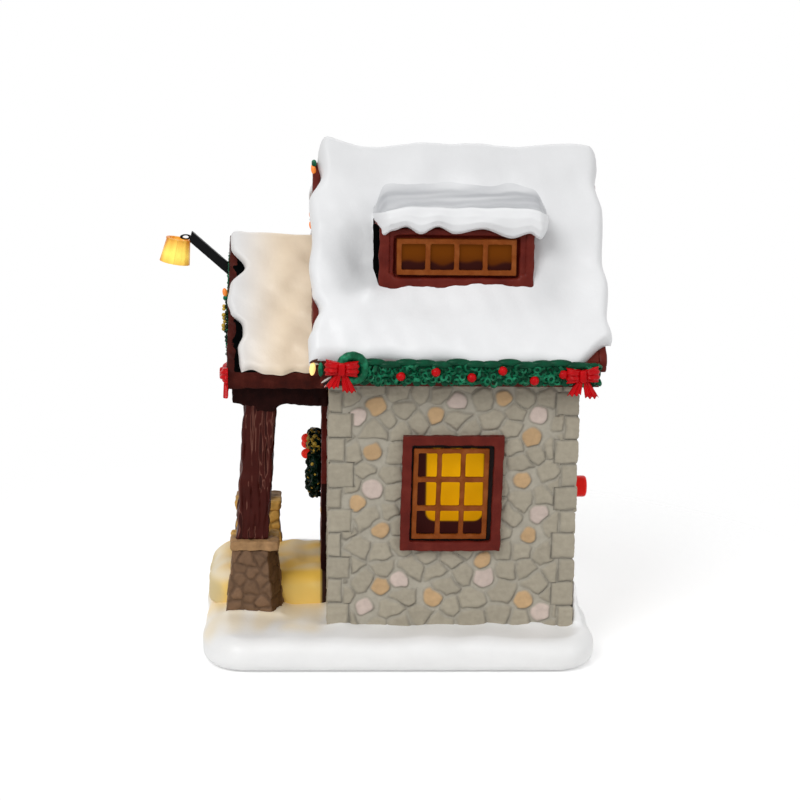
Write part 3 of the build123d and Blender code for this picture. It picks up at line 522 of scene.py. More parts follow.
# painted shade, greyer towards the ridge
shade = roofShape["ridgeShade"] * easeFrom(points[:, 2], *roofShape["ridgeShadeBand"])
squeeze, spread = roofShape["hollowShadeForm"]
for hollowX, hollowY, deep, wide in roofShape["hollows"]:                    # painted shade, greyer where the snow lies low
    aside = np.abs(points[:, 0]) - hollowX - roofShape["hollowShadeShift"]
    away = np.hypot(aside * squeeze, points[:, 1] - hollowY)
    shade += roofShape["hollowShade"] * max(deep, 0) * np.exp(-(away / wide / spread) ** 2)
paintPoints(roofSnow, "snowTint", np.array(roofShape["white"]) * (1 - shade)[:, None])
dress(roofSnow, tintedSnow, "snow_glaze", "roof_snow", smooth=60)

porchRoof = dict(
    snowOnDeck, slope=1.1263, ridge=nodeBox("porch_deck")[1][2], eaveX=38.9, thickness=2.7, roll=2.4,
    ridgeRound=5.0, crestWidth=8, lumpHeight=0.5, lumpSize=16, scallop=1.0, scallopSize=11, droop=0.4,
    seed=11, openBack=False,
    frontEdge=[(0, -63.2), (4, -62.8), (9.8, -57.4), (15, -62.9), (19.6, -63.7), (22.5, -62.4),
               (26.6, -57.8), (29, -57.7), (32.4, -59.4), (36, -58.8), (40.3, -57.6)],
    backEdge=[(0, -26.6), (41, -26.6)], hollows=[(20, -44, 0.6, 7)], beds=[], backLift=0, eaveSlope=0,
    crests=[(-60, 0.5, 4), (-34, -0.6, 6), (-45, -1.3, 60)], cols=130, rows=60,
    white=(0.74, 0.735, 0.735), lampWarm=(0.88, 0.724, 0.535), lampWarmBand=(-63, 22))
porchSnow = gableSnow("porchSnow", porchRoof)
modify(porchSnow, "SMOOTH", factor=0.5, iterations=2)
points = readPoints(porchSnow)
lampWarmth = easeFrom(points[:, 1], *porchRoof["lampWarmBand"])           # painted warm lamp light, stronger towards the house wall
paintPoints(porchSnow, "snowTint", blendPaint(porchRoof["white"], porchRoof["lampWarm"], lampWarmth))
dress(porchSnow, tintedSnow, "snow_glaze", "porch_snow", smooth=60)
print("roof snow done")


# Snow caps over the two shed dormers: a scalloped front roll whose grey top, painted as ice streaks and
# shade, runs softly into the roof's snow.

dormerCap = dict(
    lowEdge=[(-10.4, 153.4), (-7.6, 154.6), (-4, 156.6), (0.6, 158), (5.8, 155.4), (12, 158.1),
             (18, 155.6), (28, 157.4), (38.5, 154.1), (45, 156), (48.6, 153.8), (53, 157.5)],
    frontPath=[(39.6, 0), (41.3, 0.12), (42.4, 0.4), (42.0, 0.7), (40.6, 0.9), (38.8, 1)], crest=164.8,
    topRise=0.14, dip=0.7, dipAt=(0.15, 0.1), backX=3.0, innerX=38.3, frontShare=0.45, margin=3.0,
    endRound=5.0, endDrop=4.5, endSink=8, shoulder=13.0, blend=3.4, bury=3, sink=0.4, skin=0.8,
    lumpHeight=0.35, lumpSize=13, seed=21, cols=150, rows=90, white=(0.8, 0.805, 0.815),
    iceAndShade=(0.42, 0.43, 0.45), iceShadeFrom=(0, 0.06), iceShadeTo=(0.9, -0.38), iceShadeEnds=(0, 7),
    streakForm=(1.6, 0.4, 0), streakSize=10)


def meshTree(obj):
    faces = [list(face.vertices) for face in obj.data.polygons]
    return BVHTree.FromPolygons(readPoints(obj).tolist(), faces)


def castOn(tree, starts, way):           # where rays from these places meet the mesh
    return np.array([tree.ray_cast(Vector(start), Vector(way))[0] or start for start in starts])


def softMax(a, b, blend):
    share = np.clip(0.5 + 0.5 * (a - b) / blend, 0, 1)
    return a * share + b * (1 - share) + blend * share * (1 - share)


def capSnow(name, sign, roofTree):
    low, high = nodeBox("dormer_snow_right")
    cap = dormerCap

    def roofX(y, z):
        return sign * castOn(roofTree, np.column_stack([0 * y + sign * 200, y, z]), (-sign, 0, 0))[:, 0]

    def place(u, v, w):
        lowY, highY = low[1] - cap["margin"], high[1] + cap["margin"]
        y = lowY + (highY - lowY) * u
        fromEnd = np.maximum(np.minimum(y - low[1], high[1] - y), 0)
        full = rollOff(fromEnd, cap["endRound"])
        shoulder = rollOff(fromEnd, cap["shoulder"])
        lip = softKnots(y, cap["lowEdge"])
        swell = lumps(np.column_stack([0 * y, y, 30 * v]), cap["lumpSize"], cap["seed"]) * cap["lumpHeight"]
        crest = cap["crest"] - cap["endDrop"] * (1 - shoulder) + 0.7 * swell
        front = np.clip(v / cap["frontShare"], 0, 1)
        top = np.clip((v - cap["frontShare"]) / (1 - cap["frontShare"]), 0, 1)

        def frontX(share, z):            # the front path gives x at shares of the height
            reach = np.interp(share, [p[1] for p in cap["frontPath"]], [p[0] for p in cap["frontPath"]])
            behind = roofX(y, z)
            ahead = behind - cap["bury"] + (reach + swell - behind + cap["bury"]) * full
            return softMax(ahead, behind - cap["sink"], cap["blend"] * 0.6)

        crestX = frontX(np.ones_like(v), crest)
        frontZ = lip + (crest - lip) * front
        x = np.where(top > 0, crestX + (cap["backX"] - crestX) * top, frontX(front, frontZ))
        dip = cap["dip"] * np.exp(-((top - cap["dipAt"][0]) / cap["dipAt"][1]) ** 2)
        plane = crest + (crestX - x) * cap["topRise"] - cap["endSink"] * (1 - full) - dip
        roofZ = castOn(roofTree, np.column_stack([sign * x, y, 0 * y + 300]), (0, 0, -1))[:, 2]
        z = np.where(top > 0, softMax(plane, roofZ - cap["sink"], cap["blend"]), frontZ)
        innerX = np.where(top > 0, np.minimum(x, cap["innerX"]), np.minimum(cap["innerX"], x - cap["skin"]))
        innerZ = np.where(top > 0, z - 3 * cap["skin"], lip + (crest - 3 * cap["skin"] - lip) * front)
        streak = lumps(np.column_stack([x, y, 0 * y]) * cap["streakForm"], cap["streakSize"], 8)
        # grey on the top: ice streaks, with painted shade where the top faces up
        icyShade = easeFrom(top, *cap["iceShadeFrom"]) * easeFrom(top, *cap["iceShadeTo"])
        icyShade = icyShade * easeFrom(np.minimum(y - lowY, highY - y), *cap["iceShadeEnds"])
        icyShade = icyShade * np.clip(0.88 + 0.24 * streak, 0, 1)
        colour = blendPaint(cap["white"], cap["iceAndShade"], icyShade)
        return sign * (innerX + (x - innerX) * w), y, innerZ + (z - innerZ) * w, "snowTint", colour

    obj = makeSlab(name, cap["cols"], cap["rows"], place)
    modify(obj, "SMOOTH", factor=0.5, iterations=4)
    return obj


roofTree = meshTree(roofSnow)
for sideName, sign in bothSides:
    cap = capSnow("dormerSnow" + sideName.title(), sign, roofTree)
    dress(cap, tintedSnow, "snow_glaze", "dormer_snow_" + sideName, smooth=60)
print("dormer snow done")


# Snowy base with a soft drift at the wall's foot, and the porch floor, both with warm lamp light painted near
# the porch.

def outsideBox(x, y, low, high):         # distance from an upright box, seen from above
    return np.hypot(np.maximum(np.maximum(low[0] - x, x - high[0]), 0),
                    np.maximum(np.maximum(low[1] - y, y - high[1]), 0))


baseShape = dict(
    grain=0.85, soften=6, swell=0.45, swellSize=24, swellFrom=(2.5, 4), flare=0.03, flareFrom=(46, 18),
    driftHeight=0.9, driftReach=3.2, driftFrom=(11, 1.5), driftUneven=0.6, driftSize=14, pierDrift=1.6,
    pierReach=2.4, pierFrom=(10, 1.5), backDepth=3, backFoot=12.5, backRise=3, backSides=(34, 14),
    driftSides=0.35, driftWaves=1.0, waveSize=19, topFrom=(5, 5), porchAlong=(-22, -10),
    porchAcross=(60, -10), porchShare=0.8, patchSize=13, litReach=9, litAlong=(-24, -6), litShare=0.7,
    white=(0.87, 0.87, 0.865), lampBeige=(0.86, 0.75, 0.56), lampGold=(0.98, 0.74, 0.36))
floorShape = dict(
    halfWidth=24.5, front=-71.0, top=24.0, foot=11.3, intoWall=0.4, cornerRadius=11.0, edgeRadius=7.0,
    grain=0.6, swell=0.4, swellSize=12, white=(0.84, 0.79, 0.66), lampGold=(0.96, 0.6, 0.1),
    lampGoldFrom=(-73, 14), patchSize=14, deep=(0.92, 0.63, 0.17), deepFrom=(1.5, 4),
    shaded=(0.62, 0.5, 0.26), shadedFrom=(2, 4), shadedFacing=(0.35, 0.4), shadedShare=0.8, seam=2.3,
    seamSoft=0.6, joint=(0.035, 0.014, 0.009))
baseSnow = clayCopy("baseSnow", ["base_shell"], baseShape["grain"], baseShape["soften"])
points = readPoints(baseSnow)
x, y, z = points.T                       # views, so a change here changes the points
wallLow, wallHigh = nodeBox("house_walls")
pierLow, pierHigh = nodeBox("porch_pier_right")
fromWall = outsideBox(np.abs(x), y, wallLow, wallHigh)
upper = easeFrom(z, *baseShape["swellFrom"])
swell = lumps(points, baseShape["swellSize"], 31) * baseShape["swell"] * upper
points += readNormals(baseSnow) * swell[:, None]
drift = baseShape["driftHeight"] * np.exp(-fromWall / baseShape["driftReach"])
drift = drift * easeFrom(z, *baseShape["driftFrom"])
z += drift * (1 + baseShape["driftUneven"] * lumps(points, baseShape["driftSize"], 33))
fromPier = outsideBox(np.abs(x), y, pierLow, pierHigh)
drift = baseShape["pierDrift"] * np.exp(-fromPier / baseShape["pierReach"])
z += drift * easeFrom(z, *baseShape["pierFrom"])
x *= 1 + baseShape["flare"] * easeFrom(np.abs(x), *baseShape["flareFrom"])
behind = easeFrom(y, wallHigh[1], baseShape["backDepth"])     # the drift against the back wall
behind = behind * easeFrom(z, baseShape["backFoot"], baseShape["backRise"])
lower = baseShape["driftSides"] * easeFrom(np.abs(x), *baseShape["backSides"])
z -= behind * (z - baseShape["backFoot"]) * lower
y += behind * baseShape["driftWaves"] * lumps(points, baseShape["waveSize"], 39)
writePoints(baseSnow, points)
# painted warm lamp light near the porch: beige on the top, golden beside the porch floor
onTop = easeFrom(z, *baseShape["topFrom"])
nearPorch = easeFrom(y, *baseShape["porchAlong"]) * onTop
nearPorch = nearPorch * easeFrom(np.abs(x), *baseShape["porchAcross"])
besideFloor = np.maximum(np.abs(x) - floorShape["halfWidth"], floorShape["front"] - y)
lit = np.exp(-np.maximum(besideFloor, 0) / baseShape["litReach"]) * onTop
lit = lit * easeFrom(y, *baseShape["litAlong"])
patches = np.clip(0.7 + 0.4 * lumps(points, baseShape["patchSize"], 37), 0, 1)
colour = blendPaint(baseShape["white"], baseShape["lampBeige"], baseShape["porchShare"] * nearPorch * patches)
paintPoints(baseSnow, "snowTint", blendPaint(colour, baseShape["lampGold"], baseShape["litShare"] * lit))
dress(baseSnow, tintedSnow, "snow_glaze", "base_shell", smooth=50)


def selectEdges(obj, choose):            # edges whose middle and direction pass the test
    mesh = obj.data
    for edge in mesh.edges:
        a, b = (np.array(mesh.vertices[k].co) * 1000 for k in edge.vertices)
        edge.select = bool(choose((a + b) / 2, np.abs(b - a)))


def bevelEdges(obj, choose, width, segments):
    pick(obj)
    bpy.ops.object.mode_set(mode="EDIT")
    bpy.ops.mesh.select_mode(type="EDGE")
    bpy.ops.mesh.select_all(action="DESELECT")
    bpy.ops.object.mode_set(mode="OBJECT")
    selectEdges(obj, choose)
    bpy.ops.object.mode_set(mode="EDIT")
    bpy.ops.mesh.bevel(offset=width / 1000, segments=segments, affect="EDGES")
    bpy.ops.object.mode_set(mode="OBJECT")


floorDepth = wallLow[1] + floorShape["intoWall"] - floorShape["front"]
floorTop, floorFoot = floorShape["top"], floorShape["foot"]
platform = cubeMesh("porchFloor", (2 * floorShape["halfWidth"], floorDepth, floorTop - floorFoot),
                    (0, floorShape["front"] + floorDepth / 2, (floorTop + floorFoot) / 2))
bevelEdges(platform, lambda mid, way: way[2] > 5 and mid[1] < -60, floorShape["cornerRadius"], 8)
bevelEdges(platform, lambda mid, way: mid[2] > floorTop - 0.1 and mid[1] < wallLow[1] - 0.1,
           floorShape["edgeRadius"], 6)
modify(platform, "REMESH", mode="VOXEL", voxel_size=floorShape["grain"] / 1000)
modify(platform, "SMOOTH", factor=0.5, iterations=8)
points = readPoints(platform)
_, y, z = points.T
points += readNormals(platform) * (lumps(points, floorShape["swellSize"], 35) * floorShape["swell"])[:, None]
writePoints(platform, points)
# painted warm lamp light: golden towards the house, deeper gold low on the sides; painted shade on the front
# faces
inward = easeFrom(y, *floorShape["lampGoldFrom"])
patches = np.clip(0.75 + 0.3 * lumps(points, floorShape["patchSize"], 36), 0, 1)
below = floorTop - z
side = easeFrom(below, *floorShape["deepFrom"]) * (0.35 + 0.65 * inward)
frontShade = floorShape["shadedShare"] * easeFrom(-readNormals(platform)[:, 1], *floorShape["shadedFacing"])
frontShade = frontShade * easeFrom(below, *floorShape["shadedFrom"])
seam = easeFrom(y, wallLow[1] - floorShape["seam"], floorShape["seamSoft"])   # painted shade in the gap at the wall
colour = np.array(floorShape["white"])
for paint, share in (("lampGold", inward * patches), ("deep", side), ("shaded", frontShade), ("joint", seam)):
    colour = blendPaint(colour, floorShape[paint], share)
paintPoints(platform, "snowTint", colour)
dress(platform, litSnow, "snow_glaze", "porch_platform", smooth=50)
print("base done")


# Fieldstone walls: irregular raised stones in paler mortar, corner blocks, and a few painted accent stones.

stoneWork = dict(
    face=(0.368, 0.328, 0.254), mortar=(0.405, 0.372, 0.305), tan=(0.52, 0.345, 0.185),
    pink=(0.6, 0.49, 0.43), tries=2600, spacing=5.6, wider=1.12, sizeSpread=1.3, accentSize=0.9,
    accentRadius=(3.4, 4.3), accentShade=(0.88, 1.05), warp=0.28, warpSize=7.0, mortarHalf=(0.22, 0.3),
    mortarSize=9, edgeRound=1.0, relief=0.8, unevenness=0.12, tilt=0.03, chisel=0.07, chiselSize=2.3,
    rowPitch=8.9, rowJitter=0.9, blockWidth=(5.6, 8.8), blockJitter=0.8, blockBow=0.35, blockRise=0.16,
    blockShade=0.05, blockSeam=0.42, seamWidth=0.3, shadeSpread=0.05, faceFrom=(-0.1, 0.7), rimShade=0.88,
    rimWidth=0.35, underShade=0.27, underAt=(0.1, 0.3))


def stoneProfile(inset, work):           # quarter-round stone edges above flat mortar
    return rollOff(np.maximum(inset, 0), work["edgeRound"])


def layStones(across, up, wall):
    work = stoneWork
    rng = np.random.default_rng(wall["seed"])
    low = np.array([across.min(), up.min()])
    high = np.array([across.max(), up.max()])
    accents = [(a, b, kind) for kind in ("tan", "pink") for a, b in wall.get(kind, ())]
    centres = [np.array(accent[:2]) for accent in accents]
    for _ in range(work["tries"]):
        spot = rng.uniform(low, high)
        if all(np.hypot((spot[0] - c[0]) / work["wider"], spot[1] - c[1]) > work["spacing"] for c in centres):
            centres.append(spot)
    centres = np.array(centres)
    size = rng.uniform(0, work["sizeSpread"], len(centres))
    size[:len(accents)] = work["accentSize"]
    shade = 1 + rng.uniform(-1, 1, len(centres)) * work["shadeSpread"]
    tint = np.array(work["face"]) * shade[:, None]
    for k, accent in enumerate(accents):
        tint[k] = np.array(work[accent[2]]) * rng.uniform(*work["accentShade"])
    flat = np.column_stack([across, up, 0 * up])
    warpA = across + work["warp"] * lumps(flat, work["warpSize"], wall["seed"] + 11)
    warpB = up + work["warp"] * lumps(flat, work["warpSize"], wall["seed"] + 12)
    gaps = np.hypot((warpA[:, None] - centres[:, 0]) / work["wider"], warpB[:, None] - centres[:, 1]) - size
    cell = gaps.argmin(axis=1)
    two = np.partition(gaps, 1, axis=1)
    inset = (two[:, 1] - two[:, 0]) / 2
    fromMid = np.column_stack([warpA, warpB]) - centres[cell]
    radius = rng.uniform(*work["accentRadius"], len(centres))[cell]
    away = np.hypot(*fromMid.T)
    inset = np.where(cell < len(accents), np.minimum(inset, radius - away), inset)
    facing = wall["across"] * fromMid[:, 0] - fromMid[:, 1]
    under = np.clip(facing / (away + 0.1) / 1.41, 0, 1)      # stone sides that look down, away from the lamp
    seam = 0 * up
    tilt = rng.normal(size=(len(centres), 2)) * work["tilt"]
    offset = rng.uniform(-1, 1, len(centres)) * work["unevenness"]
    height = offset[cell] + tilt[cell, 0] * (across - centres[cell, 0])
    height = height + tilt[cell, 1] * (up - centres[cell, 1])
    colour = tint[cell]
    rows = int((high[1] - low[1]) / work["rowPitch"]) + 1
    for edge, odd in ((0, 0), (1, 1)):                       # corner blocks
        levels = low[1] + work["rowPitch"] * np.arange(rows + 1)
        levels = levels + rng.uniform(-1, 1, rows + 1) * work["rowJitter"]
        widths = np.where((np.arange(rows + 2) + odd) % 2 == 0, *work["blockWidth"])
        widths = widths + rng.uniform(-work["blockJitter"], work["blockJitter"], rows + 2)
        bowed = up + work["blockBow"] * (warpB - up)
        row = np.searchsorted(levels, bowed)
        near = np.min(np.abs(bowed[:, None] - levels), axis=1)
        fromEdge = (high[0] - across) if edge else (across - low[0])
        inside = fromEdge < widths[row]
        left = widths[row] - fromEdge                        # how far the block still runs
        inset = np.where(inside, np.minimum(near, left), np.minimum(inset, -left))
        height = np.where(inside, work["blockRise"] * np.sin(row * 2.4), height)
        under = np.where(inside, 0, under)
        joint = np.exp(-(np.minimum(near, np.abs(left)) / work["seamWidth"]) ** 2)
        seam = np.maximum(seam, inside * joint)
        blockTone = 1 + work["blockShade"] * np.sin(row * 1.7)
        colour = np.where(inside[:, None], np.array(work["face"]) * blockTone[:, None], colour)
    wavy = np.clip(lumps(flat, work["mortarSize"], wall["seed"] + 13), 0, 1)
    inset = inset - work["mortarHalf"][0] - work["mortarHalf"][1] * wavy
    full = stoneProfile(inset, work)
    chisel = lumps(flat, work["chiselSize"], wall["seed"] + 3)
    chisel += 0.7 * lumps(flat, work["chiselSize"] * 2.2, wall["seed"] + 4)
    height = work["relief"] * (full - 1) + height * full + work["chisel"] * chisel * (0.4 + 0.6 * full)
    rim = 1 - (1 - work["rimShade"]) * np.exp(-(inset / work["rimWidth"]) ** 2)
    # painted shadow along the stone sides that look down, away from the lamp
    shadow = np.exp(-((inset - work["underAt"][0]) / work["underAt"][1]) ** 2)
    rim = (rim - work["underShade"] * under * shadow) * (1 - work["blockSeam"] * seam)
    return height, blendPaint(work["mortar"], colour, easeFrom(inset, *work["faceFrom"])) * rim[:, None]


def buildWall(name, wall):
    # a fine grid carved into the outer face, its rim pulled in by the wall's thickness and closed behind
    step, axis = wall["step"], wall["axis"]
    alongFrom, alongTo = wall["along"]
    foot, thick, head = wall["foot"], wall["thick"], wall["head"]
    cols = int((alongTo - alongFrom) / step)
    rows = int((head((alongFrom + alongTo) / 2) - foot) / step)
    deselectAll()
    bpy.ops.mesh.primitive_grid_add(x_subdivisions=cols, y_subdivisions=rows, size=1)
    obj = named(name)
    u, v, _ = (readPoints(obj) / 1000 + 0.5).T
    if "hole" in wall:                                       # grid lines on the window opening's edges
        (a0, a1), (b0, b1) = wall["hole"]
        marks = [round((a - alongFrom) / (alongTo - alongFrom) * cols) / cols for a in (a0, a1)]
        along = np.interp(u, [0, *marks, 1], [alongFrom, a0, a1, alongTo])
        marks = [round((b - foot) / (head(0) - foot) * rows) / rows for b in (b0, b1)]
        up = np.interp(v, [0, *marks, 1], [foot, b0, b1, head(0)])
    else:
        along = alongFrom + (alongTo - alongFrom) * u
        up = foot + (head(along) - foot) * v
    height, colour = layStones(along, up, wall)
    for a, b, halfWide, halfTall, level, paint in wall.get("flats", ()):          # flat beds under frames
        inside = np.maximum(np.abs(along - a) - halfWide, np.abs(up - b) - halfTall)
        height = np.where(inside < 0, level, height)
        if paint is not None:
            colour = np.where((inside < 0)[:, None], np.array(paint), colour)
    middle = (alongFrom + alongTo) / 2
    ends = np.minimum(along - alongFrom, alongTo - along)
    push = np.where(along < middle, -1, 1) * height * np.exp(-ends / wall["cornerReach"])
    points = np.empty((len(along), 3))
    points[:, axis], points[:, 2] = along + push, up
    points[:, 1 - axis] = wall["sign"] * (wall["depth"] + height)
    writePoints(obj, points)
    paintPoints(obj, "stoneTint", colour)
    pick(obj)
    bpy.ops.object.mode_set(mode="EDIT")
    bpy.ops.mesh.select_mode(type="FACE")
    if "hole" in wall:
        bpy.ops.mesh.select_all(action="DESELECT")
        bpy.ops.object.mode_set(mode="OBJECT")
        for face in obj.data.polygons:
            _, y, z = face.center * 1000
            face.select = bool(a0 < y < a1 and b0 < z < b1)
        bpy.ops.object.mode_set(mode="EDIT")
        bpy.ops.mesh.delete(type="FACE")
    bpy.ops.mesh.select_mode(type="EDGE")
    bpy.ops.mesh.select_all(action="DESELECT")
    bpy.ops.mesh.select_non_manifold()
    bpy.ops.mesh.extrude_region_move()
    bpy.ops.object.mode_set(mode="OBJECT")
    points = readPoints(obj)
    chosen = np.array([vertex.select for vertex in obj.data.vertices])
    points[chosen, 1 - axis] = wall["sign"] * (wall["depth"] - thick)
    points[chosen, axis] = np.clip(points[chosen, axis], alongFrom + thick, alongTo - thick)
    writePoints(obj, points)
    bpy.ops.object.mode_set(mode="EDIT")
    if "hole" in wall:
        bpy.ops.mesh.bridge_edge_loops()
    else:
        bpy.ops.mesh.fill()
    bpy.ops.object.mode_set(mode="OBJECT")
    tidyMesh(obj)
    return obj


windowLow, windowHigh = nodeBox("window_frame_right")
windowMid = (windowLow + windowHigh) / 2
wallBeds = dict(
    level=-0.02, hole=(13.3, 16.6), window=(16.2, 19.4), door=(0, 50, 19.6, 34.6),
    button=(0, 52, 6.6, 6.6), gapShade=(0.008, 0.0022, 0.0018))
gableRise = roofShape["slope"]
wallTop = wallHigh[2] - wallHigh[0] * gableRise
sideWall = dict(
    along=(wallLow[1], wallHigh[1]), foot=11.2, thick=4.6, step=0.4, cornerReach=0.6,
    head=lambda y: 0 * y + wallTop,
    hole=[(windowMid[k] - wallBeds["hole"][k - 1], windowMid[k] + wallBeds["hole"][k - 1]) for k in (1, 2)],
    flats=[(windowMid[1], windowMid[2], *wallBeds["window"], wallBeds["level"], wallBeds["gapShade"])],
    tan=[(-9.3, 94.3), (12.3, 90.8), (36.5, 97.4), (46.9, 83.1), (-10.6, 77.6), (44, 67.4), (-15.7, 58.3),
         (-7.5, 48.4), (46.9, 46.3), (30.1, 37), (-7, 26.9), (12.1, 22.7), (45.6, 21.5)],
    pink=[(-15.9, 90.2), (19.7, 95.7), (49.2, 91.4), (-10.5, 63.4), (50.5, 54.3), (0, 29.1), (30.6, 30.2),
          (-12.8, 18.9), (52.2, 16.6)], seed=3)
endWall = dict(
    along=(-wallHigh[0], wallHigh[0]), foot=11.2, thick=5.0, step=0.5, cornerReach=0.6,
    head=lambda x: wallTop + (wallHigh[0] - np.abs(x)) * gableRise,
    tan=[(-38, 40), (30, 66), (-27, 92), (34, 30), (10, 118), (-12, 134), (38, 98)],
    pink=[(-31, 62), (25, 88), (-35, 22), (36, 48), (-8, 112), (14, 140), (-40, 84)], seed=7)
walls = dict(
    wallRight=dict(sideWall, axis=1, sign=1, depth=wallHigh[0], across=1),
    wallLeft=dict(sideWall, axis=1, sign=-1, depth=wallHigh[0], across=-1, seed=5),
    wallFront=dict(endWall, axis=0, sign=-1, depth=-wallLow[1], across=1,
                   flats=[(*wallBeds["door"], wallBeds["level"], None)]),
    wallBack=dict(endWall, axis=0, sign=1, depth=wallHigh[1], across=-1, seed=9,
                  flats=[(*wallBeds["button"], wallBeds["level"], None)]))
for name, wall in walls.items():
    obj = buildWall(name, wall)
    dress(obj, stoneGlaze, "stone_glaze", *(["house_walls"] if name == "wallRight" else []), smooth=50)
    print(name, len(obj.data.polygons), "faces")
print("walls done")


# Maroon boards, frames and sashes: softened copies of the solids, with brush dents.

# Each has node, grain, softening, dents, dent size, finish and slot; a node that ends in _ has two sides.
softBoards = dict(
    frontBarges=("front_bargeboards", 0.55, 3, 0.25, 9, maroonPaint, "maroon_paint"),
    rearBarges=("rear_bargeboards", 0.55, 3, 0.25, 9, maroonPaint, "maroon_paint"),
    windowFrame=("window_frame_", 0.4, 5, 0.18, 6, maroonPaint, "maroon_paint"),
    windowLattice=("window_lattice_", 0.25, 3, 0.06, 4, sashPaint, "sash_paint"),
    dormerBody=("dormer_body_", 0.5, 4, 0.2, 8, maroonPaint, "maroon_paint"),
    dormerLattice=("dormer_lattice_", 0.28, 3, 0.06, 4, sashPaint, "sash_paint"),
    doorFrame=("door_frame", 0.45, 3, 0.15, 7, maroonPaint, "maroon_paint"),
    doorPanels=("front_door", 0.4, 2, 0.1, 5, doorPaint, "door_paint"),
    porchBeam=("porch_beam_", 0.45, 4, 0.2, 7, deepShadedMaroon, "maroon_paint"),
    porchBoards=("porch_deck", 0.55, 3, 0.22, 7, shadedMaroon, "maroon_paint"),
    porchBarges=("porch_bargeboards", 0.45, 3, 0.2, 7, shadedMaroon, "maroon_paint"),
    porchGable=("porch_gable_board", 0.5, 3, 0.12, 7, doorPaint, "maroon_paint"))
# painted shade: black on the dormer cheek and the porch deck's top, dark maroon low on the door frame's sides
secondFinish = dict(     # another finish on the faces whose middle and direction pass the test
    dormerBody=(shadowBlack, lambda mid, way: way[1] < -0.3 and mid[1] < -6 and abs(mid[0]) < 37.6),
    porchBoards=(shadowBlack, lambda mid, way: way[2] > 0.25),
    doorFrame=(deepShadedMaroon, lambda mid, way: mid[2] < 58 and abs(way[0]) > 0.6))
windowLean = dict(lean=0.017, sashShift=(-0.5, -0.25))
dormerForm = dict(slide=-1.1, splay=0.3, splayFrom=37.4, splayMost=1.7, splayEnd=(-6.2, -1.2), stepIn=1.0,
                  stepAcross=(-4.2, 45.4), acrossSoft=0.5, stepFoot=(140.5, 0.6), stepFace=(36.6, 0.4))
bargeFoot = dict(frontBarges=3.0, rearBarges=5.0, band=8.0)
porchReach = dict(porchBoards=2.6, porchBeam=1.6, band=2.0)
doorStrip = dict(depth=0.62, rise=7.0, knobReach=0.35, doorFrame=(78, 4), doorPanels=(77.4, 1.6))
beamDip = dict(bracket=3.2, bracketReach=1.5, frontShare=0.4, sag=1.3, sagReach=17, bottomBand=3.0)
postLow, postHigh = nodeBox("porch_post_right")


def lowEnd(values, band):                # 1 at the lowest place, 0 a band above it
    return easeFrom(values, values.min() + band, -band)


def dipBeam(points):                     # rounded brackets at the post, and a slight sag towards the house
    y, z = points[:, 1], points[:, 2]
    behind = np.exp(-np.maximum(y - postHigh[1] - 1, 0) / beamDip["bracketReach"])
    before = beamDip["frontShare"] * np.exp(-np.maximum(postLow[1] + 1 - y, 0) / beamDip["bracketReach"])
    drop = beamDip["bracket"] * np.where(y > (postLow[1] + postHigh[1]) / 2, behind, before)
    drop += beamDip["sag"] * easeFrom(y, postHigh[1], beamDip["sagReach"])
    points[:, 2] -= drop * lowEnd(z, beamDip["bottomBand"])


def shapeDormer(points):                 # side wall splayed at the front, jambs stepped back to the window
    x, y, z = np.abs(points[:, 0]), points[:, 1].copy(), points[:, 2]
    splay = np.clip(dormerForm["splay"] * (dormerForm["splayFrom"] - x), 0, dormerForm["splayMost"])
    points[:, 1] += dormerForm["slide"] - splay * easeFrom(y, *dormerForm["splayEnd"])
    first, last = dormerForm["stepAcross"]
    inner = easeFrom(y, first, dormerForm["acrossSoft"]) * easeFrom(y, last, -dormerForm["acrossSoft"])
    inner = inner * easeFrom(z, *dormerForm["stepFoot"]) * easeFrom(x, *dormerForm["stepFace"])
    points[:, 0] -= np.sign(points[:, 0]) * dormerForm["stepIn"] * inner


def shapeBoard(kind, points):
    _, y, z = points.T
    if kind.startswith("window"):        # the frame leans a little and the sash sits low to the left in it
        y += windowLean["lean"] * (z - windowMid[2])
    if kind == "windowLattice":
        points += (0, *windowLean["sashShift"])
    if kind == "porchBeam":
        dipBeam(points)
    if kind == "dormerBody":
        shapeDormer(points)
    if kind == "dormerLattice":
        points += (0, dormerForm["slide"], 0)
    if kind in bargeFoot:
        z += bargeFoot[kind] * lowEnd(z, bargeFoot["band"])
    if kind in porchReach:
        y -= porchReach[kind] * lowEnd(y, porchReach["band"])
    if kind == "doorFrame":
        y[:] = wallLow[1] + (y - wallLow[1]) * doorStrip["depth"]
    if kind in doorStrip:
        z += doorStrip["rise"] * easeFrom(z, *doorStrip[kind])


def twoFinishes(obj, first, second, choose):       # the second finish goes on the faces that pass the test
    obj.data.materials.clear()
    obj.data.materials.append(first)
    obj.data.materials.append(second)
    for face in obj.data.polygons:
        face.material_index = int(choose(face.center * 1000, face.normal))


boardSeed = 50
for kind, (node, grain, soften, dents, dentSize, finish, slotName) in softBoards.items():
    for sideName in (("right", "left") if node.endswith("_") else ("",)):
        obj = clayCopy(kind + sideName.title(), [node + sideName], grain, soften, dents, dentSize, boardSeed)
        boardSeed += 1
        points = readPoints(obj)
        shapeBoard(kind, points)
        writePoints(obj, points)
        if kind in secondFinish:
            twoFinishes(obj, finish, *secondFinish[kind])
        dress(obj, None if kind in secondFinish else finish, slotName, node + sideName)
knob = clayCopy("doorKnob", ["door_knob"], 0.25, 2)
points = readPoints(knob)
knobFoot = points[:, 1].max()
points[:, 1] = knobFoot + (points[:, 1] - knobFoot) * doorStrip["knobReach"]
writePoints(knob, points)
dress(knob, brass, "brass", "door_knob", smooth=60)
print("boards and frames done")


# Glowing sheets behind the lattices.

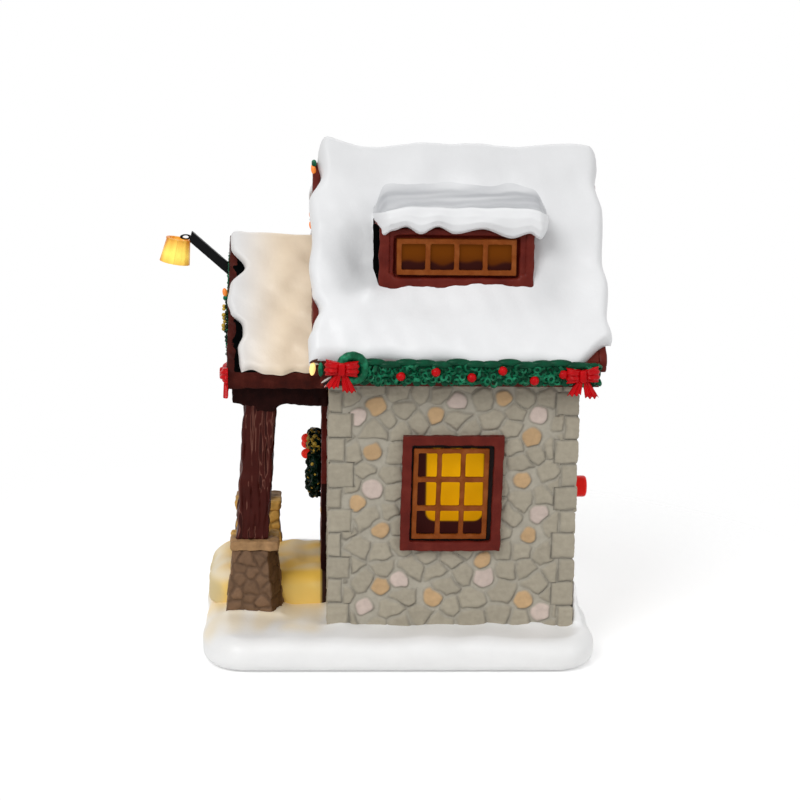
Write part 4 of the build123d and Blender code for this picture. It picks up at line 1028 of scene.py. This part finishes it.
def glowSheet(name, node, paintAt, slide=0.0, cell=0.4):
    low, high = nodeBox(node)
    low[1], high[1] = low[1] + slide, high[1] + slide

    def place(u, v, w):
        x = low[0] + (high[0] - low[0]) * w
        y = low[1] + (high[1] - low[1]) * u
        z = low[2] + (high[2] - low[2]) * v
        return x, y, z, "glow", paintAt(y, z)

    obj = makeSlab(name, int((high[1] - low[1]) / cell), int((high[2] - low[2]) / cell), place)
    dress(obj, amberPane, "amber_pane", node)


def roundedInside(y, z, shape):
    dy = np.abs(y - shape["middle"][0]) - shape["half"][0] + shape["corner"]
    dz = np.abs(z - shape["middle"][1]) - shape["half"][1] + shape["corner"]
    gap = np.hypot(np.maximum(dy, 0), np.maximum(dz, 0)) - shape["corner"]
    return easeStep(0.5 - gap / shape["soft"])


windowGlow = dict(bright=(0.6, 0.29, 0.002), deep=(0.53, 0.235, 0.001), reveal=(0.03, 0.006, 0.005),
                  middle=(19.8, 66.0), half=(10.4, 15.6), corner=3.4, soft=0.7, fade=(50, 22))
dormerGlow = dict(bright=(0.092, 0.023, 0.001), deep=(0.06, 0.013, 0.001), reveal=(0.02, 0.0035, 0.0025),
                  sill=3.6, sillSoft=1.6, fade=(3, 5), head=(3, 3), headShare=0.7)
sashLow, sashHigh = nodeBox("dormer_lattice_right")


def windowPaint(y, z):
    light = blendPaint(windowGlow["deep"], windowGlow["bright"], easeFrom(z, *windowGlow["fade"]))
    return blendPaint(windowGlow["reveal"], light, roundedInside(y, z, windowGlow))


def dormerPaint(y, z):                   # dark below a wavy sill, dimmer again under the head
    line = sashLow[2] + dormerGlow["sill"] + 0.6 * np.sin(y * 0.33) + 0.5 * np.sin(y * 0.71 + 1)
    fade = easeFrom(z - sashLow[2], *dormerGlow["fade"])
    headBand, headSoft = dormerGlow["head"]
    fade = fade * (1 - dormerGlow["headShare"] * easeFrom(z - sashHigh[2], -headBand, headSoft))
    light = blendPaint(dormerGlow["deep"], dormerGlow["bright"], fade)
    return blendPaint(dormerGlow["reveal"], light, easeFrom(z, line, dormerGlow["sillSoft"]))


for sideName in ("right", "left"):
    glowSheet("windowSheet" + sideName.title(), "window_pane_" + sideName, windowPaint)
    glowSheet("dormerSheet" + sideName.title(), "dormer_pane_" + sideName, dormerPaint, dormerForm["slide"])
print("glowing sheets done")


# Porch piers of brown cobbles under slab caps, with painted warm lamp light on their inner sides and painted
# shade on the cut corner, and carved posts.

pierWork = dict(
    grain=0.38, spacing=4.1, sizeSpread=1.1, warp=0.5, warpSize=6, mortarHalf=0.3, edgeRound=0.9,
    relief=0.55, unevenness=0.25, face=(0.178, 0.102, 0.058), mortar=(0.125, 0.072, 0.042), spread=0.14,
    faceFrom=(-0.1, 0.5), lampGold=(0.7, 0.4, 0.09), litShare=0.85, litFrom=(-0.1, 0.5), jointLight=0.5,
    shaded=(0.1, 0.046, 0.016), shadedShare=0.9, shadedBack=(0.45, 0.3), shadedSide=(0.1, 0.2),
    cornerCut=(3.8, 9.0), lift=2.5, wider=(1.1, 1.06), slab=(0.33, 0.19, 0.088), slabWider=1.09,
    slabLit=0.8, slabFrom=(31, -9), slabUneven=0.12)


def cobble(obj, work, seed, sign):
    points, normals = readPoints(obj), readNormals(obj)
    rng = np.random.default_rng(seed)
    centres = points[spreadOut(points, work["spacing"], rng)]
    size = rng.uniform(0, work["sizeSpread"], len(centres))
    shift = np.column_stack([lumps(points, work["warpSize"], seed + k) for k in range(3)])
    warped = points + work["warp"] * shift
    gaps = np.linalg.norm((warped[:, None] - centres[None]), axis=2) - size
    cell = gaps.argmin(axis=1)
    two = np.partition(gaps, 1, axis=1)
    inset = (two[:, 1] - two[:, 0]) / 2 - work["mortarHalf"]
    full = stoneProfile(inset, work)
    shade = 1 + rng.uniform(-1, 1, len(centres)) * work["spread"]
    uneven = rng.uniform(-work["unevenness"], work["unevenness"], len(centres))[cell]
    writePoints(obj, points + normals * (work["relief"] * (full - 0.6) + uneven * full)[:, None])
    outward = sign * normals[:, 0]
    # painted warm lamp light on the sides facing into the porch, and painted shade on the cut corner
    lit = work["litShare"] * easeFrom(-outward, *work["litFrom"])
    stone = blendPaint(work["face"], work["lampGold"], lit) * shade[cell][:, None]
    joint = blendPaint(work["mortar"], np.array(work["lampGold"]) * work["jointLight"], lit)
    colour = blendPaint(joint, stone, easeFrom(inset, *work["faceFrom"]))
    cornerShade = easeFrom(normals[:, 1], *work["shadedBack"]) * easeFrom(outward, *work["shadedSide"])
    paintPoints(obj, "stoneTint", blendPaint(colour, work["shaded"], work["shadedShare"] * cornerShade))


postWork = dict(
    grain=0.36, depth=0.55, grainSize=1.7, stretch=(1, 1, 0.05), curl=(0.4, 9), lean=0.055, waver=0.35,
    waverSize=9)
for k, (sideName, sign) in enumerate(bothSides):
    pier = clayCopy("pier" + sideName.title(), ["porch_pier_" + sideName], pierWork["grain"], 3)
    points = readPoints(pier)
    x, y, z = points.T
    low, high = nodeBox("porch_pier_right")
    z += pierWork["lift"] * (z - low[2]) / (high[2] - low[2])
    tall = np.clip((z - low[2]) / (high[2] - low[2]), 0, 1)
    midY = (low[1] + high[1]) / 2
    wider = pierWork["wider"][0] * (1 - tall) + pierWork["wider"][1] * tall
    y[:] = midY + (y - midY) * wider
    foot, head = (y[np.abs(tall - end) < 0.1].max() - midY for end in (0.1, 0.9))
    cutDepth, cutWidth = pierWork["cornerCut"]               # the corner towards the house wall is cut off
    cornerY = midY + foot * (1 - tall) + head * tall - cutDepth
    outer = sign * x > (low[0] + high[0]) / 2
    x -= sign * cutWidth * np.clip((y - cornerY) / cutDepth, 0, 1) * outer
    writePoints(pier, points)
    cobble(pier, pierWork, 70 + k, sign)
    dress(pier, pierStone, "pier_stone", "porch_pier_" + sideName, smooth=60)
    post = clayCopy("post" + sideName.title(), ["porch_post_" + sideName], postWork["grain"], 4)
    points = readPoints(post)
    wave = postWork["curl"][0] * np.sin(points[:, 2:] / postWork["curl"][1])
    groove = lumps(points * postWork["stretch"] + wave, postWork["grainSize"], 80 + k)
    points += readNormals(post) * (-postWork["depth"] * np.clip(groove, 0, 1) ** 1.5)[:, None]
    points += readNormals(post) * (postWork["waver"] * lumps(points, postWork["waverSize"], 84 + k))[:, None]
    points[:, 1] += postWork["lean"] * (points[:, 2] - (postLow[2] + postHigh[2]) / 2)
    points[:, 2] += pierWork["lift"] * (postHigh[2] - points[:, 2]) / (postHigh[2] - postLow[2])
    writePoints(post, points)
    dress(post, postPaint, "post_paint", "porch_post_" + sideName, smooth=60)

slabs = clayCopy("pierSlabs", ["pier_caps"], 0.4, 4, 0.25, 5, 66)
points = readPoints(slabs) + (0, 0, pierWork["lift"])
points[:, 1] += (points[:, 1] - points[:, 1].mean()) * (pierWork["slabWider"] - 1)
writePoints(slabs, points)
# painted warm lamp light on the caps' inner ends
lit = pierWork["slabLit"] * easeFrom(np.abs(points[:, 0]), *pierWork["slabFrom"])
uneven = 1 + pierWork["slabUneven"] * lumps(points, 4, 67)
paintPoints(slabs, "stoneTint", blendPaint(pierWork["slab"], pierWork["lampGold"], lit) * uneven[:, None])
dress(slabs, pierStone, "cap_stone", "pier_caps", smooth=60)
print("porch piers and posts done")


# Evergreen, wreaths and berries. A small curled leaf is modelled once and copied over each carrier.

def ballMesh(name, radius, segments=14, rings=9, stretch=(1, 1, 1)):
    deselectAll()
    bpy.ops.mesh.primitive_uv_sphere_add(segments=segments, ring_count=rings, radius=radius / 1000)
    obj = named(name)
    writePoints(obj, readPoints(obj) * stretch)
    return obj


def ringMesh(name, radius, band, around=44, section=12):
    deselectAll()
    bpy.ops.mesh.primitive_torus_add(major_segments=around, minor_segments=section,
                                     major_radius=radius / 1000, minor_radius=band / 1000)
    return named(name)


def leafCover(name, carrier, leaf, spacing, seed, keep, lean=0.5, size=1.0):
    points, normals = readPoints(carrier), readNormals(carrier)
    rng = np.random.default_rng(seed)
    shown = np.flatnonzero(keep(points, normals))
    places = []
    for k in shown[spreadOut(points[shown], spacing, rng)]:
        way = Vector(normals[k] + rng.normal(size=3) * lean)
        turn = way.to_track_quat("Z", "Y").to_matrix() @ Matrix.Rotation(rng.uniform(0, 2 * np.pi), 3, "Z")
        places.append((np.array(turn) * size * rng.uniform(0.75, 1.25), points[k] + normals[k] * 0.1))
    return stampCopies(name, leaf, places)


def toSide(sign):                        # drawing axes (along, up, out) onto a side wall
    return np.array([[0, 0, sign], [1, 0, 0], [0, 1, 0]], float)


toFront = np.array([[1, 0, 0], [0, 0, -1], [0, 1, 0]], float)

curl = ringMesh("curl", 1.2, 0.52, 9, 5)
writePoints(curl, readPoints(curl) * (1, 0.8, 1.15))
berry = ballMesh("berry", 1.65)
garland = dict(
    leafSpacing=1.65, leafDepth=2.6, leafBand=(1.5, 1.2), beadRadius=1.3, beadPitch=5.6,
    beadForm=(1.3, 3.5, 1.05), beadEnds=(1.0, 5.0), beadIn=0.2, beadDown=0.1, beadWave=(0.5, 2.3),
    berryOut=0.9,
    berries=[(-1.3, 107.7), (11.1, 109.3), (23.8, 107.4), (34.7, 109.9), (46.0, 106.4), (56.2, 108.7)])
berryPlaces = []
for sideName, sign in bothSides:
    node = "eave_garland_" + sideName
    low, high = nodeBox(node)
    face = high[0] if sign > 0 else -low[0]
    core = clayCopy("garlandCore", [node], 0.55, 4, 0.3, 4, 90)
    leafLow, leafHigh = low[2] + garland["leafBand"][0], high[2] - garland["leafBand"][1]
    leaves = leafCover("garlandLeaves", core, curl, garland["leafSpacing"], 91 + sign,
                       lambda p, n: (n[:, 0] * sign > 0) & (np.abs(p[:, 0]) > face - garland["leafDepth"])
                       & (p[:, 2] > leafLow) & (p[:, 2] < leafHigh))
    bead = ballMesh("bead", garland["beadRadius"], 16, 10, garland["beadForm"])
    bandFrom, bandTo = low[1] + garland["beadEnds"][0], high[1] - garland["beadEnds"][1]
    count = int((bandTo - bandFrom) / garland["beadPitch"])
    beadPlaces = []
    for k in range(count):
        y = bandFrom + (k + 0.5) * (bandTo - bandFrom) / count
        z = high[2] - garland["beadDown"] + garland["beadWave"][0] * math.sin(k * garland["beadWave"][1])
        beadPlaces.append((np.eye(3), np.array([sign * (face - garland["beadIn"]), y, z])))
    band = stampCopies("garlandBand", bead, beadPlaces)
    whole = joinCoated("eaveGarland" + sideName.title(), (core, evergreenDark), (leaves, evergreen),
                       (band, evergreenDark))
    dress(whole, None, "evergreen", node, smooth=60)
    discard(bead)
    out = sign * (face + garland["berryOut"])
    berryPlaces += [(np.eye(3), np.array([out, y, z])) for y, z in garland["berries"]]

wreathFace = nodeBox("eave_wreaths")[1][0]
eaveRing = dict(radius=4.4, band=1.6, ridges=13, ridgeDepth=0.05, mid=(-18.3, 110.5), sink=0.8, disc=3.1,
                discForm=(1, 1, 0.4), discSink=0.6)
rings = []
for sign in (1, -1):
    hoop = ringMesh("hoop", eaveRing["radius"], eaveRing["band"], 78, 14)
    points = readPoints(hoop)
    angle = np.arctan2(points[:, 1], points[:, 0])
    core = np.column_stack([np.cos(angle), np.sin(angle), 0 * angle]) * eaveRing["radius"]
    ridge = 1 + eaveRing["ridgeDepth"] * np.cos(eaveRing["ridges"] * angle + 2 * points[:, 2])
    points = core + (points - core) * ridge[:, None]
    disc = ballMesh("disc", eaveRing["disc"], 24, 10, eaveRing["discForm"])
    centre = np.array([sign * (wreathFace - eaveRing["sink"]), *eaveRing["mid"]])
    writePoints(hoop, points @ toSide(sign).T + centre)
    writePoints(disc, readPoints(disc) @ toSide(sign).T + centre - (sign * eaveRing["discSink"], 0, 0))
    rings += [(hoop, evergreen), (disc, evergreen)]
eaveWreath = joinCoated("eaveWreathRings", *rings)
tidyMesh(eaveWreath, 0.001)
dress(eaveWreath, None, "evergreen", "eave_wreaths", smooth=70)

doorRing = dict(
    radius=9.6, band=2.9, form=(1, 1, 0.8), leafSpacing=1.9, goldSpacing=(3.0, 1.5), goldSize=1.5,
    facing=0.6, crownFrom=0.75, balls=(0.62, math.pi / 2, math.pi - 0.62), ballSize=1.15, ballOut=3.4)
ringLow, ringHigh = nodeBox("door_wreath")
ringMid = np.array([0, (ringLow[1] + ringHigh[1]) / 2, (ringLow[2] + ringHigh[2]) / 2])
hoop = ringMesh("wreathCore", doorRing["radius"], doorRing["band"], 60, 14)
writePoints(hoop, readPoints(hoop) * doorRing["form"] @ toFront.T + ringMid)
crownFoot = ringMid[2] + doorRing["radius"] * doorRing["crownFrom"]
goldBead = ballMesh("goldBead", 0.6, 8, 5)
facing = doorRing["facing"]
leaves = leafCover("wreathLeaves", hoop, curl, doorRing["leafSpacing"], 97, lambda p, n: n[:, 1] < facing)
bits = leafCover("wreathGold", hoop, goldBead, doorRing["goldSpacing"][0], 98, lambda p, n: n[:, 1] < facing)
crown = leafCover("wreathCrown", hoop, goldBead, doorRing["goldSpacing"][1], 99,
                  lambda p, n: (n[:, 1] < facing) & (p[:, 2] > crownFoot), size=doorRing["goldSize"])
ballPlaces = []
for angle in doorRing["balls"]:
    ahead = doorRing["ballOut"] / doorRing["radius"]
    spot = ringMid + np.array([math.cos(angle), -ahead, math.sin(angle)]) * doorRing["radius"]
    ballPlaces.append((np.eye(3) * doorRing["ballSize"], spot))
balls = stampCopies("wreathBalls", berry, ballPlaces)
wreath = joinCoated("doorWreath", (hoop, wreathDark), (leaves, wreathDark), (bits, goldPaint),
                    (crown, goldPaint), (balls, redLit))
dress(wreath, None, "evergreen", "door_wreath", smooth=60)
dress(stampCopies("berries", berry, berryPlaces), redGloss, "red_gloss", "garland_berries", smooth=60)
print("evergreen and berries done")


# Ribbon bows: two full ribbed loops, a square knot and two pleated tails, drawn as (along, up, out).

bowShape = dict(
    reach=6.0, knotHalf=2.0, loopHalf=3.0, tailDrop=(5.4, 6.6), tailSpread=3.2, tailHalf=(1.0, 2.5),
    thick=0.8, swell=2.1, rib=0.36, ribs=3.0, knot=(2.5, 4.4, 3.2), knotOut=1.6)


def bowMesh(name):
    shape, parts = bowShape, []
    for side in (-1, 1):
        def loop(u, v, w):
            spread = 2 * v - 1
            wave = np.cos(shape["ribs"] * np.pi * spread)
            half = shape["knotHalf"] + (shape["loopHalf"] - shape["knotHalf"]) * u ** 0.7
            along = 0.5 + (shape["reach"] - 0.5) * u * (1 - 0.07 * spread ** 2) - 0.3 * wave * u ** 4
            swell = shape["swell"] * np.sin(np.pi * u ** 0.85) ** 0.6 * (1 - 0.35 * spread ** 2)
            full = shape["thick"] + swell - shape["rib"] * wave * np.sin(np.pi * np.minimum(u * 1.02, 1))
            full = full * (0.3 + 0.7 * rollOff(1 - np.abs(spread), 0.3))
            return side * along, 0.2 * u + spread * half, w * full

        def tail(u, v, w):
            spread = 2 * v - 1
            wave = np.cos(shape["ribs"] * np.pi * spread)
            half = shape["tailHalf"][0] + (shape["tailHalf"][1] - shape["tailHalf"][0]) * u
            along = side * (0.8 + (shape["tailSpread"] - 0.8) * u) + spread * half
            up = -1.6 - shape["tailDrop"][side > 0] * u * (1 - 0.05 * spread ** 2) + 0.45 * wave * u ** 4
            full = shape["thick"] + 0.7 - shape["rib"] * wave * (0.3 + 0.7 * u)
            return along, up, w * full * (0.35 + 0.65 * rollOff(1 - np.abs(spread), 0.3))

        parts += [makeSlab("bowLoop", 12, 19, loop), makeSlab("bowTail", 14, 19, tail)]
    knot = cubeMesh("bowKnot", shape["knot"], (0, 0, shape["knotOut"]))
    modify(knot, "BEVEL", width=0.0007, segments=3)
    obj = joinAll([*parts, knot], name)
    modify(obj, "SUBSURF", levels=1, render_levels=1)
    return obj


bow = bowMesh("bow")
garlandFace = nodeBox("eave_garland_right")[1][0]
boardFront = nodeBox("porch_bargeboards")[0][1]
bowSpots = dict(eaves=[(-22.1, 110.6, wreathFace + 0.2, -0.05), (63.1, 108.3, garlandFace + 0.2, 0.05)],
                porch=(36.0, boardFront + 0.6, 103.8))
bowPlaces = []
for sign in (1, -1):
    for y, z, out, lean in bowSpots["eaves"]:
        tilt = np.array(Matrix.Rotation(lean, 3, "Z"))
        bowPlaces.append((toSide(sign) @ tilt, np.array([sign * out, y, z])))
    bowPlaces.append((toFront, np.array(bowSpots["porch"]) * (sign, 1, 1)))
bows = stampCopies("ribbonBows", bow, bowPlaces)
tidyMesh(bows, 0.001)
dress(bows, redGloss, "red_gloss", "ribbon_bows", smooth=60)
print("bows done")


# Gable bulbs in green sockets, bulb groups at the front eaves, the porch gable's evergreen and the lit lamp.

gableLights = dict(
    main=[(2.5, 0.3, 174.6), (14.0, -0.3, 155.6)], mainBulb=(0, 0, -0.9), mainSocket=(0, 0.2, 1.3),
    mainLean=0.15, porch=(14.0, -64.6, 128.6), porchShift=0.6, porchBulb=(0, 0, 0.8),
    porchSocket=(0, 0.2, -1.2), porchLean=0.2, lit=(54.0, -32.3, 109.4), litLean=-0.1,
    green=(55.6, -29.4, 109.5), greenForm=(1.05, 1.05, 2.5), caps=(54.2, -31.8, 112.4),
    capStep=(0, 0.9, -0.35), capLean=(0.5, -0.55), capSize=0.9, wires=(55.9, -27.4, 105.9),
    wireStep=(0, 0.55, -0.75), wireLean=0.55)
lightForms = dict(                       # each with its radius, segments, rings and stretch
    bulb=(0.95, 14, 10, (1, 1, 1.8)), socket=(0.95, 10, 8, (1, 1, 1.1)), capsule=(1.1, 14, 12, (1, 1, 2.2)),
    flake=(1.0, 10, 6, (0.8, 2.1, 0.5)), strand=(0.42, 8, 8, (1, 5.2, 1)))
bulb, socket, capsule, flake, strand = (ballMesh(name, *form) for name, form in lightForms.items())
gableFront = nodeBox("front_bargeboards")[0][1]
bulbPlaces, socketPlaces, litPlaces, brownPlaces, whitePlaces, blackPlaces = [], [], [], [], [], []
for sign in (1, -1):
    mirror = np.array([sign, 1, 1])
    for x, y, z in gableLights["main"]:
        spot = np.array([x, gableFront + y, z]) * mirror
        bulbPlaces.append((turned(gableLights["mainLean"], 0, 0), spot + gableLights["mainBulb"]))
        socketPlaces.append((np.eye(3), spot + gableLights["mainSocket"]))
    spot = np.array(gableLights["porch"]) * mirror + (0, gableLights["porchShift"] * (1 - sign), 0)
    bulbPlaces.append((turned(gableLights["porchLean"], 0, 0), spot + gableLights["porchBulb"]))
    socketPlaces.append((np.eye(3), spot + gableLights["porchSocket"]))
    litPlaces.append((turned(gableLights["litLean"], 0, 0), np.array(gableLights["lit"]) * mirror))
    socketPlaces.append((np.eye(3) * gableLights["greenForm"], np.array(gableLights["green"]) * mirror))
    for k in range(3):
        spot = (np.array(gableLights["caps"]) + k * np.array(gableLights["capStep"])) * mirror
        lean = gableLights["capLean"][0] + gableLights["capLean"][1] * k
        brownPlaces.append((turned(lean, 0, 0, gableLights["capSize"]), spot))
    for k in range(4):
        spot = (np.array(gableLights["wires"]) + k * np.array(gableLights["wireStep"])) * mirror
        (whitePlaces if k % 2 == 0 else blackPlaces).append((turned(gableLights["wireLean"], 0, 0), spot))
lights = [(stampCopies(name, shape, places), finish) for name, shape, places, finish in (
    ("bulbGlass", bulb, bulbPlaces, warmBulb), ("bulbSockets", socket, socketPlaces, evergreen),
    ("eaveBulbs", capsule, litPlaces, litBulb), ("bulbCaps", flake, brownPlaces, bulbBrown),
    ("paleWires", strand, whitePlaces, wireWhite), ("darkWires", strand, blackPlaces, blackIron))]
dress(joinCoated("gableBulbs", *lights), None, "warm_bulb", "string_lights", smooth=60)

porchTrim = dict(
    press=0.1, facing=-0.3, leafSpacing=1.3, leafSize=0.36, tuftSpacing=1.5, tuftSize=0.8,
    tuftBand=(114, 126.5), goldBits=9, goldStart=(17.5, 125.5), goldRun=(6, -10), goldOut=(1.1, 0.6))
core = clayCopy("porchGarlandCore", ["porch_garland"], 0.5, 3, 0.2, 4, 101)
points = readPoints(core)
ahead = points[:, 1] - boardFront                            # pressed flat on the board
points[:, 1] = boardFront + np.where(ahead < 0, porchTrim["press"], 1) * ahead
writePoints(core, points)
leaves = leafCover("porchGarlandLeaves", core, curl, porchTrim["leafSpacing"], 103,
                   lambda p, n: n[:, 1] < porchTrim["facing"], size=porchTrim["leafSize"])
tuftLow, tuftHigh = porchTrim["tuftBand"]
tuft = leafCover("porchGarlandTuft", core, curl, porchTrim["tuftSpacing"], 104,
                 lambda p, n: (n[:, 1] < porchTrim["facing"]) & (p[:, 2] > tuftLow) & (p[:, 2] < tuftHigh),
                 size=porchTrim["tuftSize"])
rng = np.random.default_rng(15)
(startX, startZ), (runX, runZ) = porchTrim["goldStart"], porchTrim["goldRun"]
leastOut, moreOut = porchTrim["goldOut"]
goldPlaces = []
for sign in (1, -1):
    for share in rng.uniform(0, 1, porchTrim["goldBits"]):
        y = boardFront - leastOut - rng.uniform(0, moreOut)
        spot = np.array([sign * (startX + runX * share), y, startZ + runZ * share])
        goldPlaces.append((np.eye(3) * rng.uniform(0.9, 1.5), spot))
golds = stampCopies("porchGold", goldBead, goldPlaces)
whole = joinCoated("porchGarland", (core, evergreenDark), (leaves, evergreen), (tuft, wreathDark),
                   (golds, goldPaint))
dress(whole, None, "evergreen", "porch_garland", smooth=60)

lampArm = dict(upper=[(-77.4, 150.2), (-61.0, 135.9)], lower=[(-78.4, 146.4), (-61.0, 131.3)], wide=3.0,
               hook=(-79.7, 147.9), hookRadius=1.2, hookBand=0.4, hookForm=(1.35, 0.65, 1))


def armPlace(u, v, w):                   # the four corners of the bar's side, each as (y, z)
    low, farLow, high, farHigh = (np.array(end)[:, None] for end in (*lampArm["lower"], *lampArm["upper"]))
    y, z = (low + (farLow - low) * u) * (1 - v) + (high + (farHigh - high) * u) * v
    return (w - 0.5) * lampArm["wide"], y, z


bar = makeSlab("armBar", 24, 6, armPlace)
modify(bar, "REMESH", mode="VOXEL", voxel_size=0.0003)
modify(bar, "SMOOTH", factor=0.5, iterations=3)
hook = ringMesh("armHook", lampArm["hookRadius"], lampArm["hookBand"], 26, 10)
writePoints(hook, readPoints(hook) * lampArm["hookForm"] @ toSide(1).T + (0, *lampArm["hook"]))
dress(joinAll([bar, hook], "lampArm"), blackIron, "black_iron", "lamp_arm", smooth=60)

lampShade = dict(topRadius=4.35, footRadius=5.65, height=9.2, wall=0.8, tilt=math.radians(10), flutes=17,
                 fluteDepth=0.06, middle=(0, -83.1, 142.8), lipFrom=0.93, lip=0.25, hotAt=0.38,
                 dim=(0.48, 0.16, 0.012), hot=(0.95, 0.66, 0.12))
shadeTurn = turned(-lampShade["tilt"], 0, 0)


def shadePlace(u, v, w):
    angle = 2 * np.pi * u
    radius = lampShade["footRadius"] + (lampShade["topRadius"] - lampShade["footRadius"]) * v
    radius = radius + lampShade["fluteDepth"] * np.cos(lampShade["flutes"] * angle)
    radius = radius - lampShade["wall"] * (1 - w)
    radius = np.where(v > lampShade["lipFrom"], radius + lampShade["lip"] * w, radius)
    up = (v - 0.5) * lampShade["height"]
    local = np.column_stack([radius * np.cos(angle), radius * np.sin(angle), up])
    # painted glow: brightest a little below the middle on the side facing +X, dimmer and more orange round
    # the sides
    heat = 1.15 - np.abs(v - lampShade["hotAt"]) * 1.4 - 0.85 * (1 - np.abs(np.cos(angle))) ** 1.5
    heat = np.clip(heat + 0.08 * np.cos(angle * 9 + 1), 0, 1)
    x, y, z = (local @ shadeTurn.T + lampShade["middle"]).T
    return x, y, z, "glow", blendPaint(lampShade["dim"], lampShade["hot"], heat)


shade = makeSlab("lampShade", 108, 24, shadePlace)
dress(shade, lampShadeAmber, "lamp_shade_amber", "lamp_shade", smooth=60)
buttonReach = dict(rest=64.2, soft=2.3, longer=2.2)
cap = clayCopy("buttonCap", ["power_button"], 0.3, 3)
points = readPoints(cap)
points[:, 1] += buttonReach["longer"] * easeFrom(points[:, 1], buttonReach["rest"], buttonReach["soft"])
writePoints(cap, points)
dress(cap, buttonRed, "red_gloss", "power_button", smooth=50, body="button")
for template in (curl, berry, bow, bulb, socket, capsule, flake, strand, goldBead):
    discard(template)
print("lights and lamp done")


# Pale floor, white surroundings, soft studio light and the photograph's camera.

studio = dict(
    target=(-0.0187, 0.0022, 0.0815), distance=0.8, azimuth=87.3, elevation=13.0, lens=92.0, sensor=36,
    roll=0.9, worldLevel=0.55, floorColour=(0.9, 0.9, 0.9), floorGlow=0.3, floorFade=(0.1, 0.26),
    aim=(0, 0, 0.08), lamps=dict(
        keyLight=((0.8, -0.5, 0.85), 0.55, 6.0), fillLight=((0.7, 0.8, 0.5), 0.8, 1.9),
        backLight=((-0.8, 0.1, 0.8), 0.8, 1.9)))


def seenRays(shading):                   # 1 where the camera, gloss or glass looks, 0 for light on the house
    rays = addNode(shading, "ShaderNodeLightPath")
    sumOne = addNode(shading, "ShaderNodeMath")
    sumTwo = addNode(shading, "ShaderNodeMath", use_clamp=True)
    link(shading, rays.outputs["Is Camera Ray"], sumOne.inputs[0])
    link(shading, rays.outputs["Is Glossy Ray"], sumOne.inputs[1])
    link(shading, sumOne.outputs[0], sumTwo.inputs[0])
    link(shading, rays.outputs["Is Transmission Ray"], sumTwo.inputs[1])
    return sumTwo.outputs[0]


deselectAll()
bpy.ops.mesh.primitive_plane_add(size=6, location=(0, 0, -0.0002))
floor = named("floor")
bpy.ops.object.transform_apply(location=True, rotation=True, scale=True)
floorFinish = newFinish("floorFinish", studio["floorColour"], 0.8)
centreOut = addNode(floorFinish, "ShaderNodeVectorMath", operation="LENGTH")   # the floor fades to white
link(floorFinish, patternPlace(floorFinish), centreOut.inputs[0])
fade = addNode(floorFinish, "ShaderNodeMapRange", interpolation_type="SMOOTHSTEP")
fade.inputs["From Min"].default_value, fade.inputs["From Max"].default_value = studio["floorFade"]
fade.inputs["To Min"].default_value, fade.inputs["To Max"].default_value = 1.0, 0.0
link(floorFinish, centreOut.outputs["Value"], fade.inputs["Value"])
floorShader = shaderOf(floorFinish)
link(floorFinish, fade.outputs["Result"], floorShader.inputs["Alpha"])
floorShader.inputs["Emission Color"].default_value = (1, 1, 1, 1)
floorLift = addNode(floorFinish, "ShaderNodeMapRange")            # a lift that adds no light to the house
floorLift.inputs["To Max"].default_value = studio["floorGlow"]
link(floorFinish, seenRays(floorFinish), floorLift.inputs["Value"])
link(floorFinish, floorLift.outputs["Result"], floorShader.inputs["Emission Strength"])
floor.data.materials.append(floorFinish)

world = bpy.data.worlds.new("studioWhite")
bpy.context.scene.world = world
world.use_nodes = True
background = world.node_tree.nodes["Background"]
background.inputs["Color"].default_value = (1, 1, 1, 1)
brightness = addNode(world, "ShaderNodeMapRange")
brightness.inputs["To Min"].default_value = studio["worldLevel"]
link(world, seenRays(world), brightness.inputs["Value"])
link(world, brightness.outputs["Result"], background.inputs["Strength"])

for name, (place, size, power) in studio["lamps"].items():
    deselectAll()
    bpy.ops.object.light_add(type="AREA", location=place)
    lamp = named(name)
    lamp.data.energy, lamp.data.size = power, size
    lamp.rotation_euler = (Vector(studio["aim"]) - Vector(place)).to_track_quat("-Z", "Y").to_euler()

azimuth, elevation = math.radians(studio["azimuth"]), math.radians(studio["elevation"])
level = math.cos(elevation)
away = Vector((math.sin(azimuth) * level, -math.cos(azimuth) * level, math.sin(elevation)))
deselectAll()
bpy.ops.object.camera_add(location=Vector(studio["target"]) + away * studio["distance"])
camera = named("photoCamera")
camera.data.lens, camera.data.sensor_width = studio["lens"], studio["sensor"]
camera.data.clip_start = 0.01
camera.rotation_mode = "QUATERNION"
camera.rotation_quaternion = ((-away).to_track_quat("-Z", "Y")
                              @ Matrix.Rotation(math.radians(studio["roll"]), 4, "Z").to_quaternion())
bpy.context.scene.camera = camera
bpy.context.scene.view_settings.view_transform = "Standard"
print("stage done")
